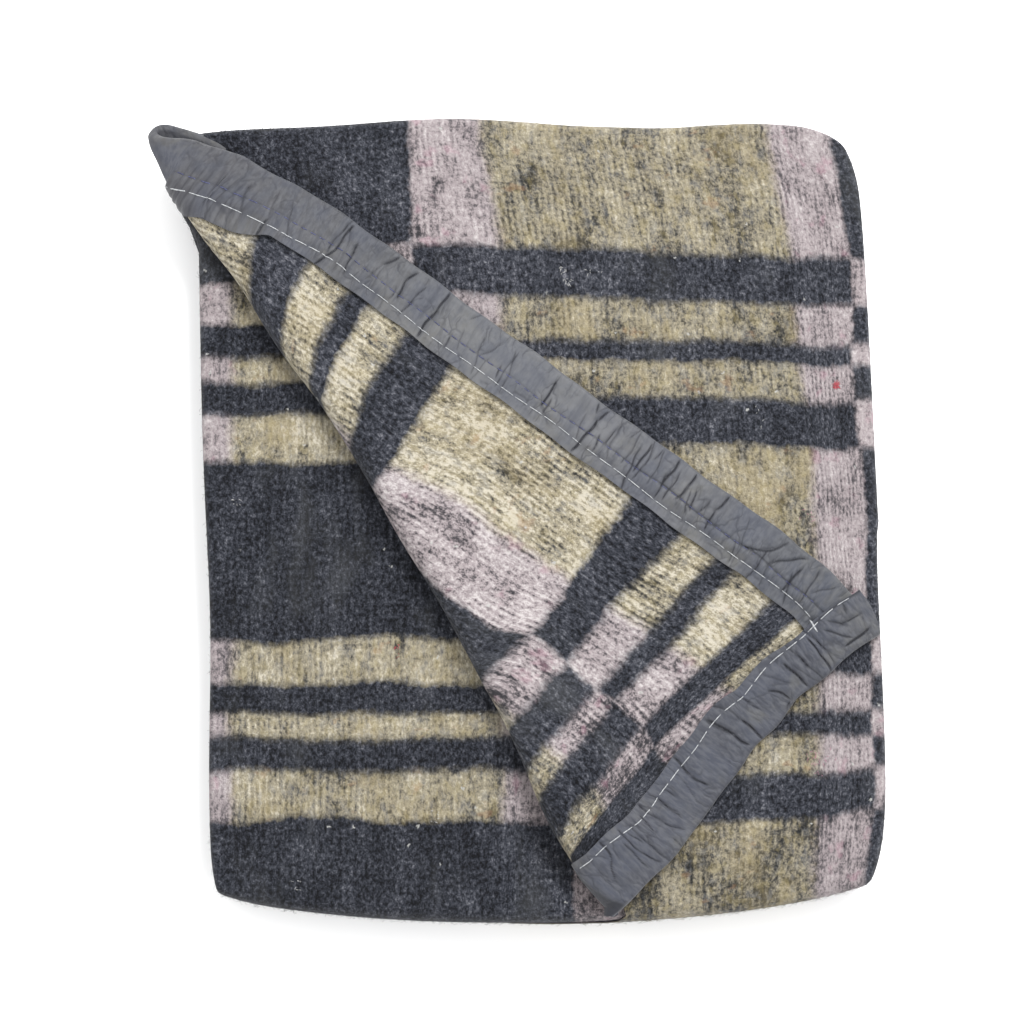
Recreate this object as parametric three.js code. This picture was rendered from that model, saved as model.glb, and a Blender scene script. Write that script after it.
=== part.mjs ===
// A felted bed blanket folded in four across and in four along, with its front-left corner pulled
// out and turned over on top. Binding tape is folded over the two edges of that corner.
// Millimetres; +X right, +Y to the back, +Z up.
import * as THREE from "three";

// The folded packet.
const PACK_WIDTH = 380;
const PACK_LENGTH = 453;
const CLOTH = 2.3;
const PLY_PITCH = 3.0;
const FOLD_SLACK = 0.2;
const LEG = 4 * PLY_PITCH + 2 * FOLD_SLACK;
const CENTRE_X = 13.494;
const CENTRE_Y = -1.482;

// How far the round folds stand out to the front and the back, as a share of their height.
const FRONT_FOLD = 0.45;
const BACK_FOLD = 0.35;
const INNER_FOLD = 0.6;
const FOLD_SQUARENESS = 3.2;
const INNER_FOLD_SETBACK = 6;
const TUCKED_END = 24;
const INNER_END = 5;

// The binding tape, folded over the edge of the cloth.
const TAPE = 0.9;
const TAPE_WIDTH = 34;
const CLEAR = 0.4;
const CORNER_GAP = 0.2;

// The turned-over corner: where it lies above the ply and how far the fold's swell reaches.
const FLAP_LIE = 4.5;
const SWELL_REACH = 75;
const TAPE_OFF_BEND = 0.5;

// One row across the turned-over corner from back to front: the outside of its fold, the free
// edge it reaches, and the fold's radius. The row marked by CORNER_ROW reaches the cloth's corner.
const FLAP_ROWS = [
  { foldX: -221, foldY: 211, edgeX: -209, edgeY: 213, radius: 4.5 },
  { foldX: -215, foldY: 199, edgeX: -190, edgeY: 213, radius: 5.0 },
  { foldX: -206, foldY: 183, edgeX: -168, edgeY: 208, radius: 5.5 },
  { foldX: -191, foldY: 162, edgeX: -135, edgeY: 188, radius: 6.0 },
  { foldX: -170, foldY: 136, edgeX: -101, edgeY: 165, radius: 7.0 },
  { foldX: -147, foldY: 99, edgeX: -60, edgeY: 135, radius: 8.0 },
  { foldX: -121, foldY: 64, edgeX: -16, edgeY: 104, radius: 8.5 },
  { foldX: -98, foldY: 27, edgeX: 33, edgeY: 68, radius: 9.0 },
  { foldX: -78, foldY: -9, edgeX: 78, edgeY: 34, radius: 9.0 },
  { foldX: -57, foldY: -43, edgeX: 118, edgeY: 6, radius: 8.5 },
  { foldX: -40, foldY: -74, edgeX: 152, edgeY: -19, radius: 8.5 },
  { foldX: -30, foldY: -93, edgeX: 174, edgeY: -39, radius: 8.0 },
  { foldX: -22, foldY: -107, edgeX: 189, edgeY: -62, radius: 8.0 },
  { foldX: -11, foldY: -130, edgeX: 157, edgeY: -90, radius: 7.5 },
  { foldX: 0, foldY: -157, edgeX: 119, edgeY: -128, radius: 7.0 },
  { foldX: 11, foldY: -179, edgeX: 90, edgeY: -167, radius: 6.5 },
  { foldX: 23, foldY: -197, edgeX: 66, edgeY: -197, radius: 6.0 },
  { foldX: 33, foldY: -208, edgeX: 48, edgeY: -211, radius: 5.0 },
];
const CORNER_ROW = 12;

// Angles round a fold, in degrees from its top, and how far the outer ply reaches to the left there.
const FRONT_TURN = [
  { turn: 180, plyLeft: -181 },
  { turn: 166, plyLeft: -140 },
  { turn: 150, plyLeft: -90 },
  { turn: 126, plyLeft: -30 },
  { turn: 90, plyLeft: 20 },
  { turn: 56, plyLeft: 36 },
  { turn: 34, plyLeft: 40 },
  { turn: 17, plyLeft: 39 },
];
const BACK_TURN = [
  { turn: 17, plyLeft: -212 },
  { turn: 34, plyLeft: -200 },
  { turn: 56, plyLeft: -190 },
  { turn: 90, plyLeft: -184 },
  { turn: 126, plyLeft: -181 },
  { turn: 150, plyLeft: -181 },
  { turn: 180, plyLeft: -181 },
];
const INNER_TURN = [150, 120, 90, 60, 30];

// Mesh steps.
const PLY_STEPS = 6;
const EDGE_CROWD = 4;
const WIDE_TURN_STEPS = 6;
const TIGHT_TURN_STEPS = 4;
const LEG_STEPS = 6;
const BEND_STEPS = 6;
const SWELL_STEPS = 5;
const TAPE_STEPS = 6;

const HALF_X = PACK_WIDTH / 2;
const FRONT_START = -PACK_LENGTH / 2 + FRONT_FOLD * 2 * LEG;
const BACK_START = PACK_LENGTH / 2 - BACK_FOLD * 1.5 * LEG;
const INNER_START = FRONT_START + INNER_FOLD_SETBACK;
const plyHeight = (ply) => FOLD_SLACK + (ply + 0.5) * PLY_PITCH;
const TOP_PLY = 3 * LEG + plyHeight(3);
const FLOOR = LEG - plyHeight(3) - CLOTH / 2;

// The packet's outline and crown: sides that lean, a bowed front, rounded right-hand corners, and a
// top that is a little higher in the middle. Height scales from the floor, so plies stay apart.
function settle(point) {
  const [x, y, z] = point;
  const across = Math.max(-1.1, Math.min(1.1, x / HALF_X));
  const along = y / (PACK_LENGTH / 2);
  const right = across > 0;
  const cornerPull = right ? 13 * across ** 4 * Math.min(1, Math.abs(along)) ** 6 : 0;
  const frontBow = (right ? 24 : 15) * across ** 2;
  const backBow = right ? -9 * across ** 8 : -4.5 * across ** 2;
  const bow = y < 0 ? frontBow : backBow;
  const ripple = y < 0 ? 1.2 * Math.sin(x / 55 + 0.6) : 1.8 * Math.sin(x / 60 + 1.2);
  const edgeShare = along ** 4;
  const crown = 1.03 - 0.075 * across ** 2 - 0.06 * along ** 2;
  const wave = 0.014 * Math.sin(x / 52 + 0.9) * Math.cos(y / 61 - 0.4);
  const sway = 0.012 * Math.sin((x + 1.3 * y) / 70);
  return [
    x * (1 - 5e-5 * y) - 0.032 * y - cornerPull,
    y + (bow + ripple) * edgeShare,
    (z - FLOOR) * (crown + wave + sway),
  ];
}

// The place in the unsettled packet that settles to a given plan point.
function unsettle(x, y) {
  let guess = [x, y];
  for (let i = 0; i < 30; i++) {
    const [gotX, gotY] = settle([guess[0], guess[1], 0]);
    guess = [guess[0] + x - gotX, guess[1] + y - gotY];
  }
  return guess;
}

// Centre line of the four plies rolled flat, from the outer ply's free edge at the left inwards.
// Each point has its place across (x), its height in the bundle (h) and its outward normal.
function rolledSection(plyLeft) {
  const line = [];
  const outerX = HALF_X - 1.5 * PLY_PITCH - CLOTH / 2;
  const leftX = -HALF_X + PLY_PITCH + CLOTH / 2;
  const ply = (from, to, height, up) => {
    for (let i = 0; i <= PLY_STEPS; i++) {
      line.push({ x: from + ((to - from) * i) / PLY_STEPS, h: height, nx: 0, nh: up });
    }
  };
  const turn = (x, h, radius, side, steps) => {
    for (let i = 1; i < steps; i++) {
      const angle = (Math.PI * i) / steps;
      const nx = side * Math.sin(angle);
      const nh = side * Math.cos(angle);
      line.push({ x: x + radius * nx, h: h + radius * nh, nx, nh });
    }
  };
  // The outer ply's points stand over those of the plies below, crowded up to its own edge.
  ply(leftX, outerX, plyHeight(3), 1);
  line.forEach((p, i) => {
    p.x = i === 0 ? plyLeft : Math.max(p.x, plyLeft + i * EDGE_CROWD);
  });
  turn(outerX, plyHeight(1.5), 1.5 * PLY_PITCH, 1, WIDE_TURN_STEPS);
  ply(outerX, leftX, plyHeight(0), -1);
  turn(leftX, plyHeight(1), PLY_PITCH, -1, WIDE_TURN_STEPS);
  ply(leftX, outerX, plyHeight(2), 1);
  turn(outerX, plyHeight(1.5), 0.5 * PLY_PITCH, 1, TIGHT_TURN_STEPS);
  ply(outerX, leftX + 2 * PLY_PITCH, plyHeight(1), -1);
  return line;
}

// The section's closed loop: its outer face from start to end, then its inner face back.
function sectionLoop(plyLeft) {
  const line = rolledSection(plyLeft);
  const face = (side) => line.map((p) => [p.x + (side * p.nx * CLOTH) / 2, p.h + (side * p.nh * CLOTH) / 2]);
  return [...face(1), ...face(-1).reverse()];
}

// Unit direction of a squared-off round fold at an angle from its top: [out, up].
function foldDirection(degrees) {
  const angle = (degrees * Math.PI) / 180;
  const out = Math.abs(Math.sin(angle));
  const up = Math.cos(angle);
  const reach = (out ** FOLD_SQUARENESS + Math.abs(up) ** FOLD_SQUARENESS) ** (1 / FOLD_SQUARENESS);
  return [out / reach, up / reach];
}

// A station places the section's points: [x, h] to [x, y, z].
function legStation(y, base, sign, plyLeft) {
  return { plyLeft, place: ([x, h]) => [x, y, base + sign * h] };
}

function turnStation(degrees, y, centre, inside, share, plyLeft) {
  const [out, up] = foldDirection(degrees);
  return {
    plyLeft,
    place: ([x, h]) => [x, y + share * (inside + h) * out, centre + (inside + h) * up],
  };
}

// A row of the turned-over corner in its own upright plane.
function flapRow(row) {
  const [foldX, foldY] = unsettle(row.foldX, row.foldY);
  const [edgeX, edgeY] = unsettle(row.edgeX, row.edgeY);
  const span = Math.hypot(edgeX - foldX, edgeY - foldY);
  const dirX = (edgeX - foldX) / span;
  const dirY = (edgeY - foldY) / span;
  const radius = row.radius;
  const reach = span - radius;
  const bend = Math.PI * radius;
  // Point and outward normal at a distance along the row from where the bend leaves the ply.
  const at = (run) => {
    if (run < bend) {
      const angle = Math.PI - run / radius;
      return {
        s: -radius * Math.sin(angle),
        z: radius * (1 + Math.cos(angle)),
        ns: -Math.sin(angle),
        nz: Math.cos(angle),
      };
    }
    const s = run - bend;
    const fall = Math.min(1, s / SWELL_REACH);
    const drop = 2 * radius - FLAP_LIE;
    const slope = (-drop * Math.PI * Math.sin(Math.PI * fall)) / (2 * SWELL_REACH);
    const length = Math.hypot(1, slope);
    return {
      s,
      z: FLAP_LIE + (drop * (1 + Math.cos(Math.PI * fall))) / 2,
      ns: -slope / length,
      nz: 1 / length,
    };
  };
  const seamX = foldX + radius * dirX;
  const seamY = foldY + radius * dirY;
  const place = (s, z) => [seamX + s * dirX, seamY + s * dirY, TOP_PLY + z];
  return { at, place, seamX, seamY, dirX, dirY, bend, length: bend + reach };
}

const rows = FLAP_ROWS.map(flapRow);

// How much wider a row crosses the tape than square across, from the edges' direction beside it.
function tapeSpread(i, first, last) {
  const from = FLAP_ROWS[Math.max(first, i - 1)];
  const to = FLAP_ROWS[Math.min(last, i + 1)];
  const alongX = to.edgeX - from.edgeX;
  const alongY = to.edgeY - from.edgeY;
  const along = Math.hypot(alongX, alongY);
  const across = Math.abs(rows[i].dirX * alongY - rows[i].dirY * alongX) / along;
  return { spread: Math.min(2.2, 1 / across), alongX: alongX / along, alongY: alongY / along };
}

// Width of the tape along a row; near the ends of the fold it narrows to stop short of the bend.
function tapeReach(row, spread) {
  return Math.min(TAPE_WIDTH * spread, row.length - row.bend - TAPE_OFF_BEND);
}

function evenSteps(from, to, steps) {
  return Array.from({ length: steps }, (_, k) => from + ((to - from) * (k + 1)) / steps);
}

// Distances along a row at which its cloth is meshed: round the bend, over the swell, under the tape.
function rowRuns(row, i) {
  const { spread } = i <= CORNER_ROW
    ? tapeSpread(i, 0, CORNER_ROW)
    : tapeSpread(i, CORNER_ROW, FLAP_ROWS.length - 1);
  const start = row.length - tapeReach(row, spread);
  return [
    ...evenSteps(0, row.bend, BEND_STEPS),
    ...evenSteps(row.bend, start, SWELL_STEPS),
    ...evenSteps(start, row.length, TAPE_STEPS),
  ];
}

// Points along a row, off its centre line to one side.
function offsetAt(row, run, side) {
  const p = row.at(run);
  return [p.s + side * p.ns, p.z + side * p.nz];
}

class SolidMesh {
  constructor() {
    this.points = [];
    this.faces = [];
  }

  add(point) {
    this.points.push(settle(point));
    return this.points.length - 1;
  }

  quad(a, b, c, d) {
    this.faces.push([a, b, c], [a, c, d]);
  }

  // Strip between two rings of the same length; closed joins the last point to the first.
  strip(ringA, ringB, closed) {
    const last = closed ? ringA.length : ringA.length - 1;
    for (let i = 0; i < last; i++) {
      const j = (i + 1) % ringA.length;
      this.quad(ringA[i], ringA[j], ringB[j], ringB[i]);
    }
  }

  // End of a sheet: its ring holds one face from start to end and the other face back.
  cap(ring, first) {
    const half = ring.length / 2;
    const one = ring.slice(0, half);
    const other = ring.slice(half).reverse();
    this.strip(first ? one : other, first ? other : one, false);
  }

  toMesh(name, colour, roughness) {
    const position = [];
    for (const [x, y, z] of this.points) {
      position.push(x + CENTRE_X, y + CENTRE_Y, z);
    }
    let volume = 0;
    for (const face of this.faces) {
      const [a, b, c] = face.map((i) => new THREE.Vector3(...this.points[i]));
      volume += a.dot(b.cross(c));
    }
    const index = this.faces.flatMap(([a, b, c]) => (volume < 0 ? [a, c, b] : [a, b, c]));
    const geometry = new THREE.BufferGeometry();
    geometry.setAttribute("position", new THREE.Float32BufferAttribute(position, 3));
    geometry.setIndex(index);
    const material = new THREE.MeshStandardMaterial({ color: colour, roughness, metalness: 0 });
    const mesh = new THREE.Mesh(geometry, material);
    mesh.name = name;
    return mesh;
  }
}

// Stations along the cloth from the tucked end under the packet, over the front fold, along the top,
// down the back fold and into the inner legs.
function blanketStations() {
  const stations = [];
  const leg = (from, to, steps, base, sign, plyLeft) => {
    for (let i = 0; i <= steps; i++) {
      stations.push(legStation(from + ((to - from) * i) / steps, base, sign, plyLeft));
    }
  };
  leg(BACK_START - TUCKED_END, FRONT_START + 1, LEG_STEPS, LEG, -1, -181);
  for (const { turn, plyLeft } of FRONT_TURN) {
    stations.push(turnStation(turn, FRONT_START, 2 * LEG, LEG, -FRONT_FOLD, plyLeft));
  }
  const firstTop = stations.length;
  for (const row of [...rows].reverse()) {
    stations.push(legStation(row.seamY, 3 * LEG, 1, row.seamX));
  }
  const lastTop = stations.length - 1;
  for (const { turn, plyLeft } of BACK_TURN) {
    stations.push(turnStation(turn, BACK_START, 2.5 * LEG, LEG / 2, BACK_FOLD, plyLeft));
  }
  leg(BACK_START - 1, INNER_START, LEG_STEPS, 2 * LEG, -1, -181);
  for (const turn of INNER_TURN) {
    stations.push(turnStation(turn, INNER_START, 2 * LEG, 0, -INNER_FOLD, -181));
  }
  leg(INNER_START, BACK_START - INNER_END, LEG_STEPS, 2 * LEG, 1, -181);
  return { stations, firstTop, lastTop };
}

function blanket() {
  const solid = new SolidMesh();
  const { stations, firstTop, lastTop } = blanketStations();
  const rings = stations.map(({ plyLeft, place }) => sectionLoop(plyLeft).map((p) => solid.add(place(p))));
  for (let i = 0; i + 1 < rings.length; i++) {
    const underFlap = i >= firstTop && i + 1 <= lastTop;
    solid.strip(rings[i], rings[i + 1], !underFlap);
  }
  solid.cap(rings[0], false);
  solid.cap(rings[rings.length - 1], true);

  // The turned-over corner grows from the outer ply's left end, row by row, front row first.
  const flaps = [...rows].reverse().map((row, i) => {
    const ring = rings[firstTop + i];
    const runs = rowRuns(row, rows.length - 1 - i);
    const face = (side) => runs.map((run) => solid.add(row.place(...offsetAt(row, run, (side * CLOTH) / 2))));
    return {
      under: [ring[0], ...face(-1)],
      upper: [ring[ring.length - 1], ...face(1)],
    };
  });
  for (let i = 0; i + 1 < flaps.length; i++) {
    const here = flaps[i];
    const next = flaps[i + 1];
    const tip = here.upper.length - 1;
    solid.strip(next.under, here.under, false);
    solid.strip(here.upper, next.upper, false);
    solid.quad(here.upper[tip], here.under[tip], next.under[tip], next.upper[tip]);
  }
  const front = flaps[0];
  const back = flaps[flaps.length - 1];
  solid.strip(front.under, front.upper, false);
  solid.strip(back.upper, back.under, false);
  return solid;
}

// The tape's closed U round the edge of one row; spread is how much wider the row crosses it.
function tapeLoop(row, spread) {
  const inner = CLOTH / 2 + CLEAR;
  const outer = inner + TAPE;
  const wide = tapeReach(row, spread);
  const side = (offset) => {
    const points = [];
    for (let i = 0; i <= TAPE_STEPS; i++) {
      points.push(offsetAt(row, row.length - (wide * i) / TAPE_STEPS, offset));
    }
    return points;
  };
  const beyond = (points, out) => [[points[0][0] + out, points[0][1]], ...points.slice(1)];
  const webOut = (CLEAR + TAPE) * spread;
  const webIn = CLEAR * spread;
  return [
    ...beyond(side(outer), webOut).reverse(),
    ...beyond(side(-outer), webOut),
    ...beyond(side(-inner), webIn).reverse(),
    ...beyond(side(inner), webIn),
  ];
}

// Tape along the free edges of the rows from first to last; the end at the corner row is cut short.
function tape(first, last) {
  const solid = new SolidMesh();
  const rings = [];
  for (let i = first; i <= last; i++) {
    const row = rows[i];
    const { spread, alongX, alongY } = tapeSpread(i, first, last);
    const cut = i === CORNER_ROW ? CORNER_GAP * (last === CORNER_ROW ? -1 : 1) : 0;
    rings.push(tapeLoop(row, spread).map(([s, z]) => {
      const [x, y, height] = row.place(s, z);
      return solid.add([x + cut * alongX, y + cut * alongY, height]);
    }));
  }
  for (let i = 0; i + 1 < rings.length; i++) {
    solid.strip(rings[i], rings[i + 1], true);
  }
  solid.cap(rings[0], false);
  solid.cap(rings[rings.length - 1], true);
  return solid;
}

const part = new THREE.Group();
part.name = "bed_blanket";
part.add(blanket().toMesh("blanket", 0x67645c, 0.95));
part.add(tape(0, CORNER_ROW).toMesh("tape_side", 0x6b707c, 0.7));
part.add(tape(CORNER_ROW, FLAP_ROWS.length - 1).toMesh("tape_end", 0x666b78, 0.7));

export default part;
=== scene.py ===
"""A felted bed blanket folded into a packet, its tape-bound corner turned over on top.

Shapes are worked out in millimetres in the packet's own place, settled into the uneven packet,
and put into meshes in metres in the part's frame: +X right, +Y back, +Z up.
"""

import math

import bpy
import numpy as np
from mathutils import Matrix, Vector


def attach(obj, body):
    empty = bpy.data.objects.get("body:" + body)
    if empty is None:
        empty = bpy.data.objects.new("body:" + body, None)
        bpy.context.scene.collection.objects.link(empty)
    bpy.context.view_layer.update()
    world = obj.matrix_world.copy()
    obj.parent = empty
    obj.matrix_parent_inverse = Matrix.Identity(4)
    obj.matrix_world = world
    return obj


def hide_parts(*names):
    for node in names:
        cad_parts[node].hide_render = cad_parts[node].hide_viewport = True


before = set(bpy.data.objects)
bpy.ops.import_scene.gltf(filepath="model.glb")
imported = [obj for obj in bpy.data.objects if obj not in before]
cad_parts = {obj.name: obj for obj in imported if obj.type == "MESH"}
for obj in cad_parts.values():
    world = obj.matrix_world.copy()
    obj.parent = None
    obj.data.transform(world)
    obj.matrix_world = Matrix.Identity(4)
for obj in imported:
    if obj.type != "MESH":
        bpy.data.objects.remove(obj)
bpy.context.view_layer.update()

# The folded packet, in millimetres.
PACK_WIDTH = 380.0
PACK_LENGTH = 453.0
HALF_X = PACK_WIDTH / 2
HALF_Y = PACK_LENGTH / 2
CLOTH = 2.3
PLY_PITCH = 3.0
FOLD_SLACK = 0.2
LEG = 4 * PLY_PITCH + 2 * FOLD_SLACK
# From the packet's own place to the part's frame.
CENTRE_X = 13.494
CENTRE_Y = -1.482
MM = 0.001

# The folds at the front, the back and inside: how far each reaches out for its height, and how square
# it is; and where the hidden ends and edges of the cloth stop.
FRONT_FOLD = 0.45
BACK_FOLD = 0.35
INNER_FOLD = 0.6
FOLD_SQUARENESS = 3.2
INNER_FOLD_SETBACK = 6.0
TUCKED_END = 24.0
INNER_END = 5.0
PLY_LEFT = -181.0
FRONT_START = -HALF_Y + FRONT_FOLD * 2 * LEG
BACK_START = HALF_Y - BACK_FOLD * 1.5 * LEG
INNER_START = FRONT_START + INNER_FOLD_SETBACK

# The binding tape and the turned-over corner.
TAPE = 0.9
TAPE_WIDTH = 34.0
END_TAPE_WIDTH = 30.0
CLEAR = 0.4
FLAP_LIE = 4.5
SWELL_REACH = 75.0
TAPE_ROOM = 2.2
TIP_ROOM = 3.5


def ply_height(ply):
    """Height of a ply's centre in the strip of four, counted from 0 at the bottom."""
    return FOLD_SLACK + (ply + 0.5) * PLY_PITCH


TOP_PLY = 3 * LEG + ply_height(3)
FLOOR = LEG - ply_height(3) - CLOTH / 2

# Rows across the turned-over corner from back to front: the outside of its fold, the free edge it
# reaches and the fold's radius. CORNER_ROW reaches the corner of the cloth.
FLAP_ROWS = np.array([
    (-222, 212.5, -209, 215, 4.5),
    (-216.5, 200, -190, 214.5, 5.0),
    (-207.5, 183.5, -168, 208, 5.5),
    (-192, 163.5, -135, 188, 6.0),
    (-170, 136, -101, 165, 7.0),
    (-147, 99, -60, 135, 8.0),
    (-121, 64, -16, 104, 8.5),
    (-98, 27, 33, 68, 9.0),
    (-78, -9, 78, 34, 9.0),
    (-57, -43, 118, 6, 8.5),
    (-40, -74, 152, -19, 8.5),
    (-30, -93, 174, -39, 8.0),
    (-22, -107, 189, -62, 8.0),
    (-11, -130, 157, -90, 8.5),
    (0, -157, 119, -128, 9.0),
    (11, -179, 90, -167, 9.0),
    (22.5, -199.5, 66, -197, 7.5),
    (35.5, -214.5, 47, -215.5, 5.5),
])
CORNER_ROW = 12
ROWS_BETWEEN = 5
BEND_STEPS = 14
LIE_STEPS = 110
# How far the cloth stops short of its tape's outer edge along the rows, by row number.
INSET_ROW = np.array([0.0, 2, 4, 11, 12, 13, 15, 17])
INSET = np.array([7.0, 7, 3.5, 3.5, 5, 8.5, 7, 5])
# Soft creases placed on the turned corner: two ends in plan, depth and width.
CORNER_CREASES = np.array([
    (-60, 4, -30, -10, 1.6, 2.8),
    (-56, -8, -36, -17, 2.2, 2.6),
    (-45, -15, -10, -33, 2.6, 2.8),
    (-30, -8, -8, -30, 1.8, 2.6),
    (-26, -68, 12, -75, 1.9, 2.8),
    (-12, -90, 10, -76, 1.5, 2.8),
    (40, -96, 66, -112, 0.8, 3.0),
    (58, -69, 84, -84, 0.7, 2.5),
])
CREASE_FADE = 6.0

# Angles round the front and back folds, and how far the outer ply reaches to the left there.
FRONT_TURN = np.array([
    (180, -181), (166, -140), (150, -90), (126, -30), (90, 20), (56, 36), (34, 40), (17, 39),
])
BACK_TURN = np.array([
    (17, -201), (34, -190), (56, -183), (90, -181), (126, -181), (150, -181), (180, -181),
])

# How the packet settles: its lean and taper, then how far its sides, ends and corners move.
LEAN = 0.032
TAPER = 5e-5
TIP_FLARE = 11.0
LEFT_WAIST = 3.0
FRONT_LEFT_OUT = 2.0
RIGHT_WAIST = 2.2
FRONT_RIGHT_IN = 14.0
BACK_RIGHT_IN = 5.0
FRONT_BOW_RIGHT = 24.0
FRONT_BOW_LEFT = 15.0
BACK_BOW_RIGHT = 6.0
BACK_BOW_LEFT = 10.0
BACK_RIPPLE = 2.2
CORNER_SHARE = 0.18
BACK_RIGHT_ROUND = 4.5
FRONT_LEFT_ROUND = 2.5
# The hollow beside the turned corner's fold near the front: its middle in plan, the fold's direction
# there, its depth, and its reach along and across the fold.
HOLLOW_AT = (2.0, -184.0)
HOLLOW_WAY = (0.527, -0.85)
HOLLOW_DEPTH = 12.0
HOLLOW_ALONG = 22.0
HOLLOW_ACROSS = 12.0


def smooth_step(low, high, value):
    """0 below low, 1 above high, an S curve between."""
    t = np.clip((value - low) / (high - low), 0, 1)
    return t * t * (3 - 2 * t)


def relief(x, y):
    """Soft lumps of the stacked plies: three crossing sine waves, about a millimetre high."""
    return (
        0.9 * np.sin(x / 41 + 0.3) * np.sin(y / 52 + 1.1)
        + 0.7 * np.sin((x + 0.7 * y) / 29 + 2.0)
        + 0.5 * np.sin((x - 1.9 * y) / 37 + 0.4)
    )


def hollow(x, y):
    """Depth of the hollow beside the turned corner's fold: a bell drawn out along it."""
    dx, dy = x - HOLLOW_AT[0], y - HOLLOW_AT[1]
    along = HOLLOW_WAY[0] * dx + HOLLOW_WAY[1] * dy
    off = HOLLOW_WAY[0] * dy - HOLLOW_WAY[1] * dx
    return HOLLOW_DEPTH * np.exp(-((along / HOLLOW_ALONG) ** 2) - (off / HOLLOW_ACROSS) ** 2)


def settle(points):
    """Turns square packet points into the settled packet: sides that lean, a bowed front, rounded
    corners, a back left corner that flares out under the turned corner's tip, and a top that is a
    little higher in the middle. Height scales from the floor."""
    x, y, z = points[..., 0], points[..., 1], points[..., 2]
    across = np.clip(x / HALF_X, -1.1, 1.1)
    along = y / HALF_Y
    right = across > 0
    near_end = np.minimum(1, np.abs(along)) ** 6
    flare = TIP_FLARE * smooth_step(157, 186, y) * smooth_step(145, 190, -x)
    waist = LEFT_WAIST * across**2 * np.exp(-(((y + 55) / 75) ** 2))
    left_pull = np.where(y < 0, -FRONT_LEFT_OUT * across**4 * near_end, flare) - waist
    front_pull = RIGHT_WAIST * across**2 * smooth_step(-30, 40, -y)
    front_pull = front_pull + FRONT_RIGHT_IN * across**4 * near_end
    right_pull = np.where(y < 0, front_pull, BACK_RIGHT_IN * across**4 * near_end)
    front_bow = np.where(right, FRONT_BOW_RIGHT, FRONT_BOW_LEFT) * across**2
    back_bow = np.where(right, -BACK_BOW_RIGHT, -BACK_BOW_LEFT) * across**8
    bow = np.where(y < 0, front_bow, back_bow)
    back_ripple = BACK_RIPPLE * np.cos((x - 135) / 28.6) + BACK_RIPPLE * (1 - smooth_step(40, 90, x))
    ripple = np.where(y < 0, 0.8 + 1.2 * np.sin(x / 55 + 0.6), back_ripple)
    corner = np.clip((np.abs(across) - (1 - CORNER_SHARE)) / CORNER_SHARE, 0, 1.1)
    corner = corner * np.clip((np.abs(along) - (1 - CORNER_SHARE)) / CORNER_SHARE, 0, 1.1)
    rounded = np.where(right & (y > 0), BACK_RIGHT_ROUND, 0)
    rounded = (rounded + np.where(~right & (y < 0), FRONT_LEFT_ROUND, 0)) * corner**2
    crown = 1.03 - 0.075 * across**2 - 0.06 * along**2
    wave = 0.014 * np.sin(x / 52 + 0.9) * np.cos(y / 61 - 0.4)
    sway = 0.012 * np.sin((x + 1.3 * y) / 70)
    lumps = relief(x, y) * smooth_step(30, 46, z)
    lumps = lumps - hollow(x, y) * smooth_step(18, 46, z) * (1 - smooth_step(49, 56, z))
    return np.stack([
        x * (1 - TAPER * y) - LEAN * y - np.where(right, right_pull, left_pull) - np.sign(x) * rounded,
        y + (bow + ripple) * along**4 - np.sign(y) * rounded,
        (z - FLOOR) * (crown + wave + sway) + lumps,
    ], axis=-1)


def unsettle(plan):
    """The square packet's place that settles to a plan point, found by repeated correction."""
    guess = plan.copy()
    for _ in range(30):
        here = np.concatenate([guess, np.zeros_like(guess[..., :1])], axis=-1)
        guess = guess + plan - settle(here)[..., :2]
    return guess


def curve_through(table, t):
    """Catmull-Rom curve through a table's rows, at fractional row numbers t."""
    last = len(table) - 1
    i = np.clip(np.floor(t).astype(int), 0, last - 1)
    f = (t - i)[:, None]
    p0, p1 = table[np.maximum(i - 1, 0)], table[i]
    p2, p3 = table[i + 1], table[np.minimum(i + 2, last)]
    return p1 + 0.5 * f * (
        p2 - p0 + f * (2 * p0 - 5 * p1 + 4 * p2 - p3 + f * (3 * (p1 - p2) + p3 - p0))
    )


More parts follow.
